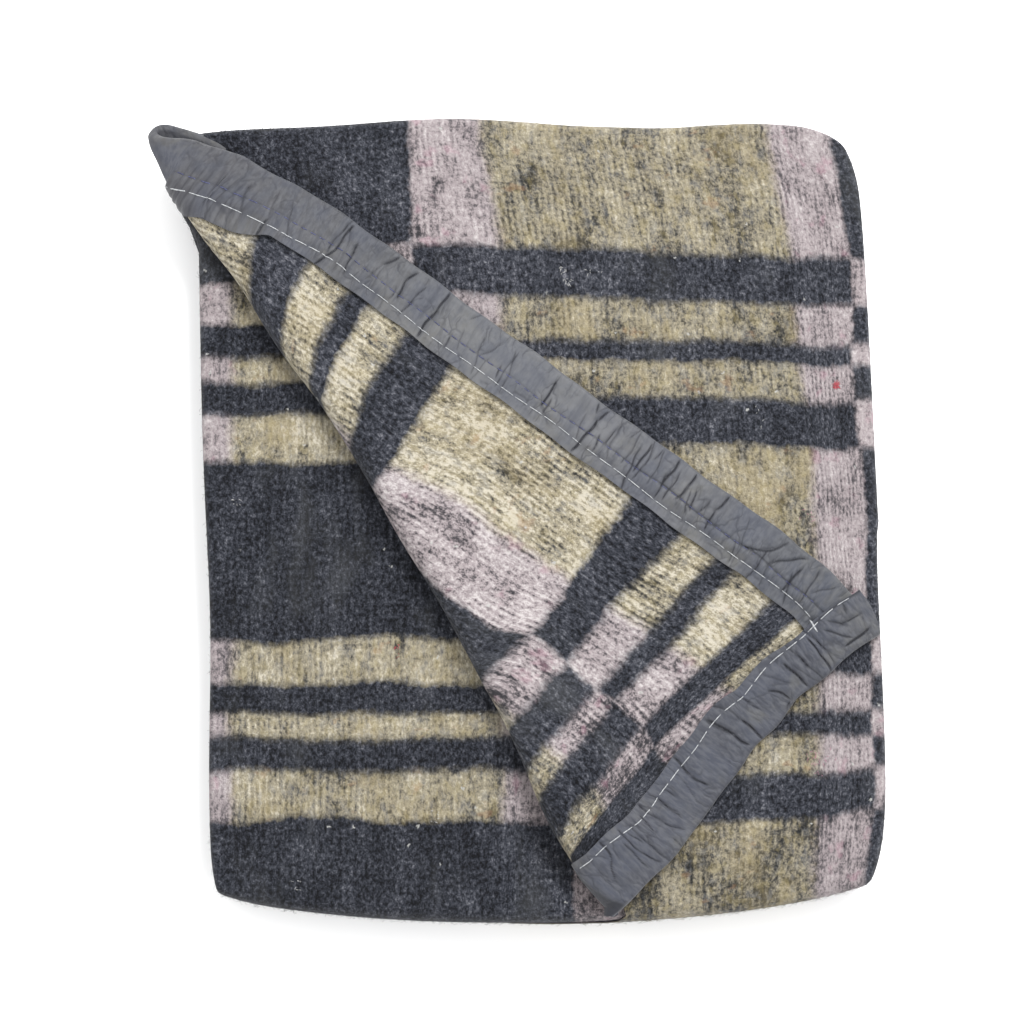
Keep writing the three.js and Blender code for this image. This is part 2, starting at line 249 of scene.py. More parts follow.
class FlapRows:
    """The turned-over corner as straight rows in plan, each bent over a half circle at its fold and
    falling in a cosine curve from the fold's height to where it lies on the ply."""

    def __init__(self):
        t = np.linspace(0, len(FLAP_ROWS) - 1, (len(FLAP_ROWS) - 1) * ROWS_BETWEEN + 1)
        fold = curve_through(FLAP_ROWS[:, [0, 1, 4]].astype(float), t)
        before = t <= CORNER_ROW
        edge = np.concatenate([
            curve_through(FLAP_ROWS[: CORNER_ROW + 1, 2:4].astype(float), t[before]),
            curve_through(FLAP_ROWS[CORNER_ROW:, 2:4].astype(float), t[~before] - CORNER_ROW),
        ])
        start, end = unsettle(fold[:, :2]), unsettle(edge)
        span = np.linalg.norm(end - start, axis=1)
        self.way = (end - start) / span[:, None]
        # Where the tape goes round the fold, at both ends, the cloth's fold leaves room for it.
        under_tape = 1 - smooth_step(2, 3.5, t) + smooth_step(14.5, 16, t)
        room = TAPE_ROOM * under_tape + TIP_ROOM * (1 - smooth_step(0.4, 1.8, t))
        span = span - room
        self.radius = fold[:, 2]
        self.seam = start + (self.radius + room)[:, None] * self.way
        self.bend = np.pi * self.radius
        self.length = self.bend + span - self.radius

    @staticmethod
    def profile(run, radius):
        """Place along the row, height and normal, at a distance run from where the bend begins."""
        bend = np.pi * radius
        angle = np.pi - np.clip(run, 0, bend) / radius
        s = run - bend
        fall = np.clip(s / SWELL_REACH, 0, 1)
        drop = 2 * radius - FLAP_LIE
        slope = -drop * np.pi * np.sin(np.pi * fall) / (2 * SWELL_REACH)
        length = np.hypot(1, slope)
        bent = run < bend
        lie = FLAP_LIE + drop * (1 + np.cos(np.pi * fall)) / 2
        return (
            np.where(bent, -radius * np.sin(angle), s),
            np.where(bent, radius * (1 + np.cos(angle)), lie),
            np.where(bent, -np.sin(angle), -slope / length),
            np.where(bent, np.cos(angle), 1 / length),
        )

    def runs(self):
        """Distances along every row: round the bend, then on to where the cloth stops in its tape."""
        bend_steps = np.arange(1, BEND_STEPS + 1) / BEND_STEPS
        lie_steps = np.arange(1, LIE_STEPS + 1) / LIE_STEPS
        row = np.linspace(0, len(FLAP_ROWS) - 1, len(self.length))
        reach = self.length - self.bend - np.interp(row, INSET_ROW, INSET)
        return np.concatenate([
            self.bend[:, None] * bend_steps, self.bend[:, None] + reach[:, None] * lie_steps
        ], axis=1)

    def rows_at(self, runs, lift):
        """Points of every row at its runs, lifted off the cloth's centre along its normal."""
        s, z, ns, nz = self.profile(runs, self.radius[:, None])
        plan = self.seam[:, None] + (s + lift * ns)[..., None] * self.way[:, None]
        return np.concatenate([plan, (TOP_PLY + z + lift * nz)[..., None]], axis=-1)

    def flat_rows(self, runs):
        """Plan points of the same runs as if the corner lay flat."""
        return self.seam[:, None] + (runs - self.bend[:, None])[..., None] * self.way[:, None]

    def on_flap(self, plan, lift):
        """Wraps flat plan points onto the corner: each point is placed on the row through it, and
        what lies past the fold goes round the bend by its own distance."""
        flat = plan.reshape(-1, 2)
        off = flat[:, None] - self.seam[None]
        side = off[..., 0] * self.way[None, :, 1] - off[..., 1] * self.way[None, :, 0]
        crossing = side[:, :-1] * side[:, 1:] <= 0
        found = crossing.any(axis=1)
        nearest = np.where(np.abs(side[:, 0]) < np.abs(side[:, -1]), 0, side.shape[1] - 2)
        j = np.where(found, crossing.argmax(axis=1), nearest)
        every = np.arange(len(flat))
        here, after = side[every, j], side[every, j + 1]
        t = np.clip(here / np.where(here == after, 1, here - after), 0, 1)

        def between(values):
            """Values of the rows on either side, mixed by the place between them."""
            shape = (-1,) + (1,) * (values.ndim - 1)
            return values[j] * (1 - t.reshape(shape)) + values[j + 1] * t.reshape(shape)

        way = between(self.way)
        way = way / np.linalg.norm(way, axis=1, keepdims=True)
        radius = between(self.radius)
        s_flat = ((flat - between(self.seam)) * way).sum(axis=1)
        run = np.maximum(np.pi * radius + s_flat, 0.02)
        s, z, ns, nz = self.profile(run, radius)
        lift = np.broadcast_to(lift, plan.shape[:-1]).reshape(-1)
        moved = flat + (s - s_flat + lift * ns)[:, None] * way
        points = np.concatenate([moved, (TOP_PLY + z + lift * nz)[:, None]], axis=1)
        return points.reshape(plan.shape[:-1] + (3,))


flap_rows = FlapRows()


# The check's bands and columns, as places in the packet's plan. Bands are counted from the back.
# A column is COLUMN wide, pink near its sides and khaki between; bands swap its light and dark. Each
# edge goes over softly, and fine ribs run along the columns.
COLUMN = 252.0
COLUMN_SOFT = 2.0
PINK_SIDE = 43.0
PINK_SOFT = 5.0
BAND_SOFT = 1.8
RIB_PITCH = 3.5
BAND_EDGES = np.array([
    150.6, 123.8, 101.9, 89.6, 68.9, 42.6, -66.1, -86.8, -106.4, -120.4, -139.4, -164.6,
])
NEXT_PLY_EDGES = np.array([
    136.1, 111.4, 93.0, 79.5, 60.5, 34.7, -66.1, -90.2, -108.1, -120.4, -140.0, -165.8,
])
# On the turned corner each band edge leaves the tape at a distance along it, leaning and bending as
# it runs inward: distance, lean and bend.
TURNED_EDGES = np.array([
    (81.0, 0.31, 0.0055), (115.7, -0.05, 0.0073), (140, -0.015, 0.0039), (157, -0.03, 0.0029),
    (183.6, -0.13, 0.0032), (216, -0.01, -0.0004), (338.7, 0.01, -0.0009), (371.5, -0.11, -0.0002),
    (393, -0.11, 0.0), (410.5, -0.21, 0.0004), (436, -0.32, 0.0010), (452, -0.345, 0.0009),
])
# Depth on the turned corner where its pink begins and where its column ends, by distance along.
TURNED_PINK_AT = np.array([213.0, 260, 335, 370, 410, 437])
TURNED_PINK = np.array([100.0, 92, 91, 90, 84, 84])
TURNED_SIDE_AT = np.array([287.0, 318, 336, 395, 414, 430])
TURNED_SIDE = np.array([139.0, 137, 129, 131, 134, 140])
# Where the columns' four lines run on the top ply, by place along the packet: the left side, the
# ends of the pink, the right side.
LINE_Y = np.array([-200.0, -172, -144, -88, -44, 23, 113, 150, 163, 189, 219])
LINE_LEFT = np.array([-70.0, -70, -70, -70, -70, -70, -71, -71.5, -72, -73, -76])
LINE_PINK_LEFT = np.array([-24.0, -24, -24, -24, -24, -24, -24, -24, -25, -29, -34.5])
LINE_PINK_RIGHT = np.array([154.0, 154.5, 155.5, 155.5, 156.5, 153.5, 144.5, 141, 139, 135, 128])
LINE_RIGHT = np.array([180.9, 183.1, 185.9, 185.4, 183, 179.8, 174.7, 173.6, 172.5, 168, 161.3])
# The bands' tilt on the top ply by place along the packet, the place across that it turns about, and
# how far left of that it goes on.
TILT_Y = np.array([-100.0, 20, 90, 150])
TILT = np.array([-0.08, 0.0, 0.01, 0.035])
TILT_ABOUT = 145.0
TILT_REACH = 220.0
# The column's left side on the ply under the turned corner, and how much closer its check is.
NEXT_PLY_SIDE = 19.0
NEXT_PLY_CLOSER = 1.09


def read_across(value, places, marks):
    """Straight pieces through (places, marks), carried on at slope one past both ends."""
    order = np.argsort(places)
    inside = np.interp(value, places[order], marks[order])
    low, high = places[order][0], places[order][-1]
    outside = np.minimum(value - low, 0) + np.maximum(value - high, 0)
    turn = np.sign(marks[order][-1] - marks[order][0])
    return inside + turn * outside


def top_check(x, y):
    """Check coordinates on the top ply: across between its four lines, along with a small tilt."""
    left, pink_left, pink_right, right = (
        np.interp(y, LINE_Y, line) for line in (LINE_LEFT, LINE_PINK_LEFT, LINE_PINK_RIGHT, LINE_RIGHT)
    )
    across = (
        np.minimum(x - left, 0)
        + PINK_SIDE * np.clip((x - left) / (pink_left - left), 0, 1)
        + (COLUMN - 2 * PINK_SIDE) * np.clip((x - pink_left) / (pink_right - pink_left), 0, 1)
        + PINK_SIDE * np.clip((x - pink_right) / (right - pink_right), 0, 1)
        + np.maximum(x - right, 0)
    )
    tilt = np.interp(y, TILT_Y, TILT)
    return across, y + tilt * np.maximum(x - TILT_ABOUT, -TILT_REACH)


def next_check(x, y):
    """Check coordinates on the ply under the turned corner: across from its column's side, along by
    its own band edges."""
    return (x - NEXT_PLY_SIDE) * NEXT_PLY_CLOSER, read_across(y, NEXT_PLY_EDGES, BAND_EDGES)


# The taped side of the turned corner: where a straight line along it starts and its direction, and
# how far the side bulges out from that line by distance along it.
TURNED_FROM = np.array([-218.9, 219.5])
TURNED_WAY = np.array([0.834, -0.551])
EDGE_ALONG = np.array([0.0, 26, 87, 225, 364, 468])
EDGE_BULGE = np.array([0.0, 10.6, 20.2, 15.5, 8.6, 0.8])
# Depths past the tape between which the band edges lean and bend.
TURNED_RUN = (-10.0, 175.0)


def turned_check(x, y):
    """Check coordinates on the turned corner: columns by the depth from the taped side, bands by the
    leaning and bending band edges on either side."""
    dx, dy = x - TURNED_FROM[0], y - TURNED_FROM[1]
    along = dx * TURNED_WAY[0] + dy * TURNED_WAY[1]
    inward = dx * TURNED_WAY[1] - dy * TURNED_WAY[0]
    deep = inward + np.interp(along, EDGE_ALONG, EDGE_BULGE)
    pink = np.interp(along, TURNED_PINK_AT, TURNED_PINK)
    side = np.interp(along, TURNED_SIDE_AT, TURNED_SIDE)
    across = (
        PINK_SIDE * np.clip((side - deep) / (side - pink), 0, 1)
        + np.maximum(pink - deep, 0)
        - np.maximum(deep - side, 0)
    )
    run = np.clip(deep - TAPE_WIDTH, *TURNED_RUN)[..., None]
    start, lean, bend = TURNED_EDGES.T
    edges = start + lean * run + bend * run**2
    k = np.clip((edges < along[..., None]).sum(axis=-1), 1, len(start) - 1)[..., None]
    before = np.take_along_axis(edges, k - 1, axis=-1)[..., 0]
    after = np.take_along_axis(edges, k, axis=-1)[..., 0]
    share = (along - before) / np.maximum(after - before, 1.0)
    k = k[..., 0]
    return across, BAND_EDGES[k - 1] + share * (BAND_EDGES[k] - BAND_EDGES[k - 1])


# Edges that bend more than this stay sharp, in degrees.
SHARP = 60


def mesh_piece(name, points, faces, checks, turned):
    """A smooth mesh object with its check coordinates as a UV map and its turned share on points."""
    mesh = bpy.data.meshes.new(name)
    mesh.from_pydata(points.tolist(), [], faces)
    corners = np.empty(len(mesh.loops), dtype=np.int32)
    mesh.loops.foreach_get("vertex_index", corners)
    layer = mesh.uv_layers.new(name="weave")
    layer.data.foreach_set("uv", checks[corners].astype(np.float32).reshape(-1))
    share = mesh.attributes.new("turned", "FLOAT", "POINT")
    share.data.foreach_set("value", turned.astype(np.float32))
    mesh.polygons.foreach_set("use_smooth", np.ones(len(faces), dtype=bool))
    mesh.set_sharp_from_angle(angle=math.radians(SHARP))
    mesh.update()
    piece = bpy.data.objects.new(name, mesh)
    bpy.context.scene.collection.objects.link(piece)
    return piece


class Skin:
    """Points, check coordinates and quads of one mesh, added a grid at a time. turned is 1 on the
    turned corner's upper face and 0 elsewhere."""

    def __init__(self):
        self.points, self.checks, self.turned, self.quads = [], [], [], []
        self.count = 0

    def put(self, points, check, turned=0.0):
        """Adds points and returns their numbers in the same arrangement."""
        shape = points.shape[:-1]
        self.points.append(points.reshape(-1, 3))
        self.checks.append(np.stack(np.broadcast_arrays(*check), axis=-1).reshape(-1, 2))
        self.turned.append(np.broadcast_to(turned, shape).reshape(-1))
        numbers = np.arange(self.count, self.count + len(self.points[-1])).reshape(shape)
        self.count += numbers.size
        return numbers

    def add(self, quads):
        """Adds quads and returns their numbers in the same arrangement."""
        first = sum(len(q) for q in self.quads)
        self.quads.append(quads.reshape(-1, 4))
        return np.arange(first, first + len(self.quads[-1])).reshape(quads.shape[:-1])

    def strip(self, one, other):
        """Quads between two rows of point numbers."""
        return self.add(np.stack([one[:-1], one[1:], other[1:], other[:-1]], axis=-1))

    def grid(self, numbers):
        """Quads of a grid of point numbers."""
        return self.add(np.stack(
            [numbers[:-1, :-1], numbers[:-1, 1:], numbers[1:, 1:], numbers[1:, :-1]], axis=-1
        ))

    def two_faces(self, outer, inner):
        """Quads of a sheet's outer and inner grids and of its rim on all sides but the first points of
        its rows; returns the outer face's numbers."""
        numbers = self.grid(outer)
        self.grid(inner[:, ::-1])
        self.strip(outer[:, -1], inner[:, -1])
        self.strip(inner[0], outer[0])
        self.strip(outer[-1], inner[-1])
        return numbers

    def make(self, name):
        """The mesh object, settled and in the part's frame, its faces turned outwards."""
        points = settle(np.concatenate(self.points))
        points = (points + np.array([CENTRE_X, CENTRE_Y, 0.0])) * MM
        quads = np.concatenate(self.quads)
        a, b, c, d = (points[quads[:, k]] for k in range(4))
        volume = (a * np.cross(b, c)).sum() + (a * np.cross(c, d)).sum()
        if volume < 0:
            quads = quads[:, ::-1]
        checks = np.concatenate(self.checks) * MM
        turned = np.concatenate(self.turned)
        self.surface = points, quads, checks, turned
        return mesh_piece(name, points, quads.tolist(), checks, turned)


# Steps of the cloth's mesh round its rolled section: the outer ply, its right fold, the bottom ply,
# the left fold, the ply under the outer one, and the fold and ply inside.
OUTER_STEPS = 51
RIGHT_FOLD_STEPS = 16
BOTTOM_STEPS = 20
LEFT_FOLD_STEPS = 12
NEXT_PLY_STEPS = 38
INSIDE_FOLD_STEPS = 8
INSIDE_STEPS = 12


def rolled_section():
    """The plies rolled flat, from the outer ply's right end on: place across, height and normal of
    each point, half circles between straight plies; the number of points before the left fold; and
    the place across where the outer ply ends."""
    outer_x = HALF_X - 1.5 * PLY_PITCH - CLOTH / 2
    left_x = -HALF_X + PLY_PITCH + CLOTH / 2
    parts = []

    def ply(x0, x1, height, up, steps):
        """A straight ply from one place across to another."""
        t = np.linspace(0, 1, steps + 1)
        parts.append(np.stack([x0 + (x1 - x0) * t, 0 * t + height, 0 * t, 0 * t + up], axis=1))

    def turn(x, height, radius, side, steps):
        """A half circle about a place, without its two ends."""
        angle = np.pi * np.arange(1, steps) / steps
        nx, nh = side * np.sin(angle), side * np.cos(angle)
        parts.append(np.stack([x + radius * nx, height + radius * nh, nx, nh], axis=1))

    turn(outer_x, ply_height(1.5), 1.5 * PLY_PITCH, 1, RIGHT_FOLD_STEPS)
    ply(outer_x, left_x, ply_height(0), -1, BOTTOM_STEPS)
    before_next = sum(len(p) for p in parts)
    turn(left_x, ply_height(1), PLY_PITCH, -1, LEFT_FOLD_STEPS)
    ply(left_x, outer_x, ply_height(2), 1, NEXT_PLY_STEPS)
    turn(outer_x, ply_height(1.5), 0.5 * PLY_PITCH, 1, INSIDE_FOLD_STEPS)
    ply(outer_x, left_x + 2 * PLY_PITCH, ply_height(1), -1, INSIDE_STEPS)
    return np.concatenate(parts), before_next, outer_x


def fold_direction(degrees):
    """Out and up on a squared-off round fold: a superellipse by the angle from its top."""
    out, up = np.abs(np.sin(np.radians(degrees))), np.cos(np.radians(degrees))
    reach = (out**FOLD_SQUARENESS + np.abs(up) ** FOLD_SQUARENESS) ** (1 / FOLD_SQUARENESS)
    return out / reach, up / reach


# Stations along the cloth: the points of its tucked end, its folds and its inner legs, the angles from
# level at which the folds meet the legs, and the step between a leg and its fold.
TUCKED_POINTS = 20
FRONT_POINTS = 40
BACK_POINTS = 36
INNER_POINTS = 16
INNER_FOLD_POINTS = 10
FRONT_MEETS = 8.0
BACK_MEETS = 10.0
INNER_MEETS = 18.0
LEG_STEP = 1.0


def station_rows():
    """Stations along the cloth: each is y = y0 + y1 h, z = z0 + z1 h for a section height h, with the
    outer ply's left edge and the distance along the outer ply, which is y itself on the top; and
    the numbers of the first on the top, the first past the top and the first inside the packet."""
    rows = []

    def leg(y, base, sign, left):
        """Stations at places along a flat stretch, its section upright or upside down."""
        left = np.broadcast_to(left, y.shape)
        rows.append(np.stack([y, 0 * y, 0 * y + base, 0 * y + sign, left], axis=1))

    def turn(degrees, y, centre, inside, share, left):
        """Stations round a fold, share of its height deep, with room for inside within it."""
        out, up = fold_direction(degrees)
        rows.append(np.stack([
            y + share * inside * out, share * out, centre + inside * up, up,
            np.broadcast_to(left, out.shape),
        ], axis=1))

    tucked = np.linspace(BACK_START - TUCKED_END, FRONT_START + LEG_STEP, TUCKED_POINTS)
    leg(tucked, LEG, -1, PLY_LEFT)
    angle = np.linspace(180, FRONT_MEETS, FRONT_POINTS)
    left = np.interp(-angle, -FRONT_TURN[:, 0], FRONT_TURN[:, 1])
    turn(angle, FRONT_START, 2 * LEG, LEG, -FRONT_FOLD, left)
    first_top = sum(len(r) for r in rows)
    leg(flap_rows.seam[::-1, 1], 3 * LEG, 1, flap_rows.seam[::-1, 0])
    after_top = sum(len(r) for r in rows)
    angle = np.linspace(BACK_MEETS, 180, BACK_POINTS)
    left = np.interp(angle, BACK_TURN[:, 0], BACK_TURN[:, 1])
    turn(angle, BACK_START, 2.5 * LEG, LEG / 2, BACK_FOLD, left)
    outside_rows = sum(len(r) for r in rows)
    leg(np.linspace(BACK_START - LEG_STEP, INNER_START, INNER_POINTS), 2 * LEG, -1, PLY_LEFT)
    angle = np.linspace(180 - INNER_MEETS, INNER_MEETS, INNER_FOLD_POINTS)
    turn(angle, INNER_START, 2 * LEG, 0, -INNER_FOLD, PLY_LEFT)
    leg(np.linspace(INNER_START, BACK_START - INNER_END, INNER_POINTS), 2 * LEG, 1, PLY_LEFT)
    table = np.concatenate(rows)
    h = ply_height(3)
    path = np.stack([table[:, 0] + table[:, 1] * h, table[:, 2] + table[:, 3] * h], axis=1)
    step = np.linalg.norm(np.diff(path, axis=0), axis=1)
    way = np.concatenate([[0.0], np.cumsum(step)])
    along = way - way[first_top] + table[first_top, 0]
    return table, along, first_top, after_top, outside_rows


def corner_dent(x, y):
    """Depth of the turned corner's soft creases: a bell across each one's line, fading at its ends."""
    dent = 0 * x
    for x0, y0, x1, y1, depth, width in CORNER_CREASES:
        length = math.hypot(x1 - x0, y1 - y0)
        ahead = ((x - x0) * (x1 - x0) + (y - y0) * (y1 - y0)) / length
        off = ((x - x0) * (y1 - y0) - (y - y0) * (x1 - x0)) / length
        shown = smooth_step(-CREASE_FADE, CREASE_FADE, ahead)
        shown = shown * (1 - smooth_step(length - CREASE_FADE, length + CREASE_FADE, ahead))
        dent = dent + depth * shown * np.exp(-((off / width) ** 2))
    return dent


def lying_flat(across, down):
    """Plan places of the cloth as if it ran on flat past the packet's sides and ends."""
    inside_x = np.clip(across, -HALF_X, HALF_X)
    inside_y = np.clip(down, -HALF_Y, HALF_Y)
    plan = settle(np.stack([inside_x, inside_y, 0 * inside_x], axis=-1))
    return plan[..., 0] + across - inside_x, plan[..., 1] + down - inside_y


def turn_corner(skin, upper_root, lower_root):
    """Adds the turned corner, whose rows grow from two columns of points on the top, and returns the
    numbers of its upper faces."""
    runs = flap_rows.runs()
    lying = flap_rows.flat_rows(runs)
    plan = settle(np.concatenate([lying, 0 * lying[..., :1]], axis=-1))
    u, v = turned_check(plan[..., 0], plan[..., 1])
    dent = corner_dent(plan[..., 0], plan[..., 1])
    top = skin.put(flap_rows.rows_at(runs, CLOTH / 2 - dent), (u, v), 1.0)
    under = skin.put(flap_rows.rows_at(runs, -CLOTH / 2 - dent), (u + COLUMN, v))
    upper = np.concatenate([upper_root, top], axis=1)
    return skin.two_faces(upper, np.concatenate([lower_root, under], axis=1))


# Right of the turned corner's tip the top's rows draw in, from a place along the packet, to stop where
# the back fold begins; and the shares of the outer ply over which they come to do so.
DRAWN_FROM = 170.0
DRAWN_SHARES = (0.02, 0.12)
# The ply beneath is bare from this far left of the outer ply's left edge.
BARE_FROM = 3.0


def blanket_skin():
    """The whole cloth: the rolled section carried along the stations, both faces, and the turned
    corner grown from the outer ply's left edge on the top; and the numbers of its faces in sight."""
    line, before_next, outer_x = rolled_section()
    table, along, first_top, after_top, outside_rows = station_rows()
    shares = np.linspace(0, 1, OUTER_STEPS + 1)
    y0, y1, z0, z1, left = (table[:, k][:, None] for k in range(5))
    last_y = table[after_top - 1, 0]
    station = np.arange(len(table))[:, None]
    on_top = (station >= first_top) & (station < after_top)
    drawn = np.concatenate([smooth_step(*DRAWN_SHARES, shares), np.ones(len(line))])[None]
    y0 = y0 - on_top * drawn * (last_y - BACK_START) * smooth_step(DRAWN_FROM, last_y, y0)

    def beyond_outer(values):
        """The values past the outer ply, the same at every station."""
        return np.broadcast_to(values, (len(table), len(line)))

    outer_ply = left + (outer_x - left) * shares[None]
    x = np.concatenate([outer_ply, beyond_outer(line[:, 0])], axis=1)
    flat = np.ones_like(shares)
    height = np.concatenate([flat * ply_height(3), line[:, 1]])[None]
    nx = np.concatenate([flat * 0, line[:, 2]])[None]
    nh = np.concatenate([flat, line[:, 3]])[None]
    ends = np.concatenate([[[outer_x, ply_height(3)]], line[:, :2]])
    beyond = np.cumsum(np.linalg.norm(np.diff(ends, axis=0), axis=1))
    across = np.concatenate([outer_ply, beyond_outer(outer_x + beyond)], axis=1)
    down = np.broadcast_to(along[:, None], across.shape)

    u, v = top_check(*lying_flat(across, down))
    n = len(shares) + before_next
    next_start = n + LEFT_FOLD_STEPS - 1
    next_x = across[:, n:] - across[:, next_start : next_start + 1] + x[:, next_start : next_start + 1]
    next_u, next_v = next_check(*lying_flat(next_x, down[:, n:]))
    u = np.concatenate([u[:, :n], next_u], axis=1)
    v = np.concatenate([v[:, :n], next_v], axis=1)

    skin = Skin()

    def face(side):
        """Points half the cloth's thickness out on one side; the inside's check is a column on."""
        h = height + side * nh * CLOTH / 2
        points = np.stack([x + side * nx * CLOTH / 2, y0 + y1 * h, z0 + z1 * h], axis=-1)
        return skin.put(points, (u + (0 if side > 0 else COLUMN), v))

    outer, inner = face(1), face(-1)
    outside = skin.two_faces(outer, inner)
    skin.strip(inner[: first_top + 1, 0], outer[: first_top + 1, 0])
    skin.strip(inner[after_top - 1 :, 0], outer[after_top - 1 :, 0])
    upper_root, lower_root = (side[first_top:after_top, :1][::-1] for side in (inner, outer))
    turned = turn_corner(skin, upper_root, lower_root)

    # Faces that can be seen: the outer ply outside the packet, both side folds, the bare part of the
    # ply beneath and the turned corner.
    seen = np.zeros(outside.shape, dtype=bool)
    seen[:outside_rows, : len(shares) - 1] = True
    seen[:, len(shares) - 1 : len(shares) + RIGHT_FOLD_STEPS] = True
    seen[:, n : next_start] = True
    beneath = slice(next_start, next_start + NEXT_PLY_STEPS)
    seen[:, beneath] = x[:-1, beneath] < left[:-1] - BARE_FROM
    return skin, np.concatenate([outside[seen], turned[:, :-2].reshape(-1)])


# Outer edges of the tape along the turned corner's side and end, in the packet's plan.
SIDE_EDGE = np.array([
    (-194.3, 215.9), (-187, 213.4), (-174, 208.8), (-166.7, 206.3), (-158.2, 201.2), (-147, 194.4),
    (-135.6, 188.4), (-119.2, 179), (-101.7, 167.3), (-56.7, 134), (-11.7, 101.2), (33, 68.3),
    (77.8, 35.3), (122.6, 3.4), (145, -14), (162.8, -28), (174, -40), (182, -50),
], dtype=float)
END_EDGE = np.array([
    (196.5, -58.5), (189.5, -63.5), (179, -69.5), (169.6, -77.2), (161.7, -84.2), (152.8, -90.6),
    (144.4, -97.2), (138.8, -104), (130.3, -115.7), (118.5, -127.3), (107.9, -141.8), (95, -158),
    (82.7, -176), (71.6, -189.4), (54.9, -204.9), (46.5, -213.2), (40, -219.5), (33, -226),
    (26, -232.5),
], dtype=float)
# How far the tapes' paths run on past what they cover.
SIDE_SPARE = 6.0
END_SPARE = 28.1
# The tape's edge round the tip of the fold: plan, height over the top ply, and the degrees its face
# has turned from up to down.
TIP_EDGE = np.array([
    (-194.3, 215.9, 9.3, 0), (-201, 217.0, 9.2, 0), (-208, 217.4, 8.9, 8), (-214.5, 218.6, 7.8, 40),
    (-219.3, 221, 5.2, 85), (-219.2, 224, 2.2, 125), (-215.5, 226, 0.6, 160), (-210.5, 226.2, 0, 175),
    (-203.4, 224.3, -0.3, 180), (-197.8, 222.7, -0.6, 180), (-192, 220.7, -0.8, 180),
    (-186.5, 218.5, -1.0, 180), (-181, 216.0, -1.2, 180), (-175, 212.7, -1.4, 180),
    (-169.6, 209, -1.5, 180),
], dtype=float)
TIP_STEPS = 85
# The tape's main creases: two ends in plan and a strength.
SIDE_CREASES = np.array([
    (-161, 160, -154, 169, 0.9), (-154, 170, -147, 186, 0.4), (-105, 167, -113, 156, 0.8),
    (-113, 156, -128, 144, 0.9), (-79, 149, -89, 144, 0.7), (-89, 144, -100, 135, 0.4),
    (-69, 140, -76, 135, 0.8), (-76, 135, -81, 125, 0.7), (-51, 129, -58, 119, 0.9),
    (-58, 119, -70, 104, 1.0), (-26, 121, -40, 113, 0.4), (-20, 101, -34, 93, 0.4),
    (9, 79, 0, 65, 0.8), (33, 67, 31, 61, 0.6), (39, 62, 32, 57, 0.8), (32, 57, 17, 40, 1.0),
    (43, 52, 35, 42, 0.5), (57, 52, 49, 46, 0.4), (62, 43, 51, 28, 0.8), (69, 40, 62, 34, 0.5),
    (78, 34, 67, 20, 0.8), (87, 27, 74, 12, 0.7), (87, 18, 83, 6, 0.6), (95, 12, 88, 5, 0.5),
    (106, 14, 97, 6, 0.8), (97, 6, 91, -5, 0.7), (138, -12, 112, -13, 0.7), (149, -21, 128, -24, 0.7),
    (146, -26, 134, -39, 0.9), (166, -36, 151, -40, 0.5),
])
END_CREASES = np.array([
    (183, -60, 170, -70, 1.1), (148, -65, 155, -74, 0.9), (155, -74, 162, -84, 0.9),
    (135, -79, 148, -91, 0.9), (127, -94, 139, -99, 0.9), (139, -99, 137, -105, 0.6),
    (112, -111, 124, -122, 1.0), (93, -111, 105, -118, 1.0), (105, -118, 116, -125, 0.9),
    (73, -131, 83, -141, 0.9), (83, -141, 93, -147, 0.7), (65, -156, 78, -166, 0.6),
    (72, -176, 78, -182, 0.5), (32, -178, 38, -187, 0.8), (38, -187, 40, -199, 0.6),
    (166, -59, 179, -52, 0.5), (158, -61, 174, -65, 0.7), (159, -55, 170, -59, 0.6),
    (142, -73, 149, -82, 0.6), (89, -102, 103, -106, 0.5), (53, -163, 62, -173, 0.5),
    (114, -100, 123, -106, 0.5), (168, -45, 170, -52, 0.6),
])


# Steps of an edge's path between its corners, and how many its direction is averaged over.
EDGE_STEPS = 12
EDGE_SMOOTHING = 9


class Edge:
    """A smooth path along an edge with its inward direction, by distance from its start. The direction
    is a running mean of the path's own."""

    def __init__(self, corners):
        t = np.linspace(0, len(corners) - 1, (len(corners) - 1) * EDGE_STEPS + 1)
        path = unsettle(curve_through(corners, t))
        step = np.linalg.norm(np.diff(path, axis=0), axis=1)
        self.way = np.concatenate([[0.0], np.cumsum(step)])
        self.length = self.way[-1]
        self.path = path
        ahead = np.gradient(path, axis=0)
        kernel = np.ones(EDGE_SMOOTHING) / EDGE_SMOOTHING
        padded = np.pad(ahead, ((EDGE_SMOOTHING // 2, EDGE_SMOOTHING // 2), (0, 0)), mode="edge")
        ahead = np.stack([np.convolve(padded[:, k], kernel, "valid") for k in range(2)], axis=1)
        self.ahead = ahead / np.linalg.norm(ahead, axis=1, keepdims=True)
        self.inward = np.stack([self.ahead[:, 1], -self.ahead[:, 0]], axis=1)

    def at(self, distance, depth):
        """Plan points at distances along the edge and depths inward from it."""
        place = [np.interp(distance, self.way, self.path[:, k]) for k in range(2)]
        inward = [np.interp(distance, self.way, self.inward[:, k]) for k in range(2)]
        return np.stack([place[k] + depth * inward[k] for k in range(2)], axis=-1)

    def near(self, plan):
        """Distances along the edge and depths inward of settled plan points."""
        off = unsettle(plan)[:, None] - self.path[None]
        k = np.hypot(off[..., 0], off[..., 1]).argmin(axis=1)
        off = off[np.arange(len(plan)), k]
        along = self.way[k] + (off * self.ahead[k]).sum(axis=1)
        return np.stack([along, (off * self.inward[k]).sum(axis=1)], axis=1)


# The tape's creases: the depth of the stitches that gather them, the width of a crease's valley, the
# length of its wandering and of its fading ends.
GATHER = 24.0
VALLEY = 0.62
WANDER = 2.3
FADE = 3.0
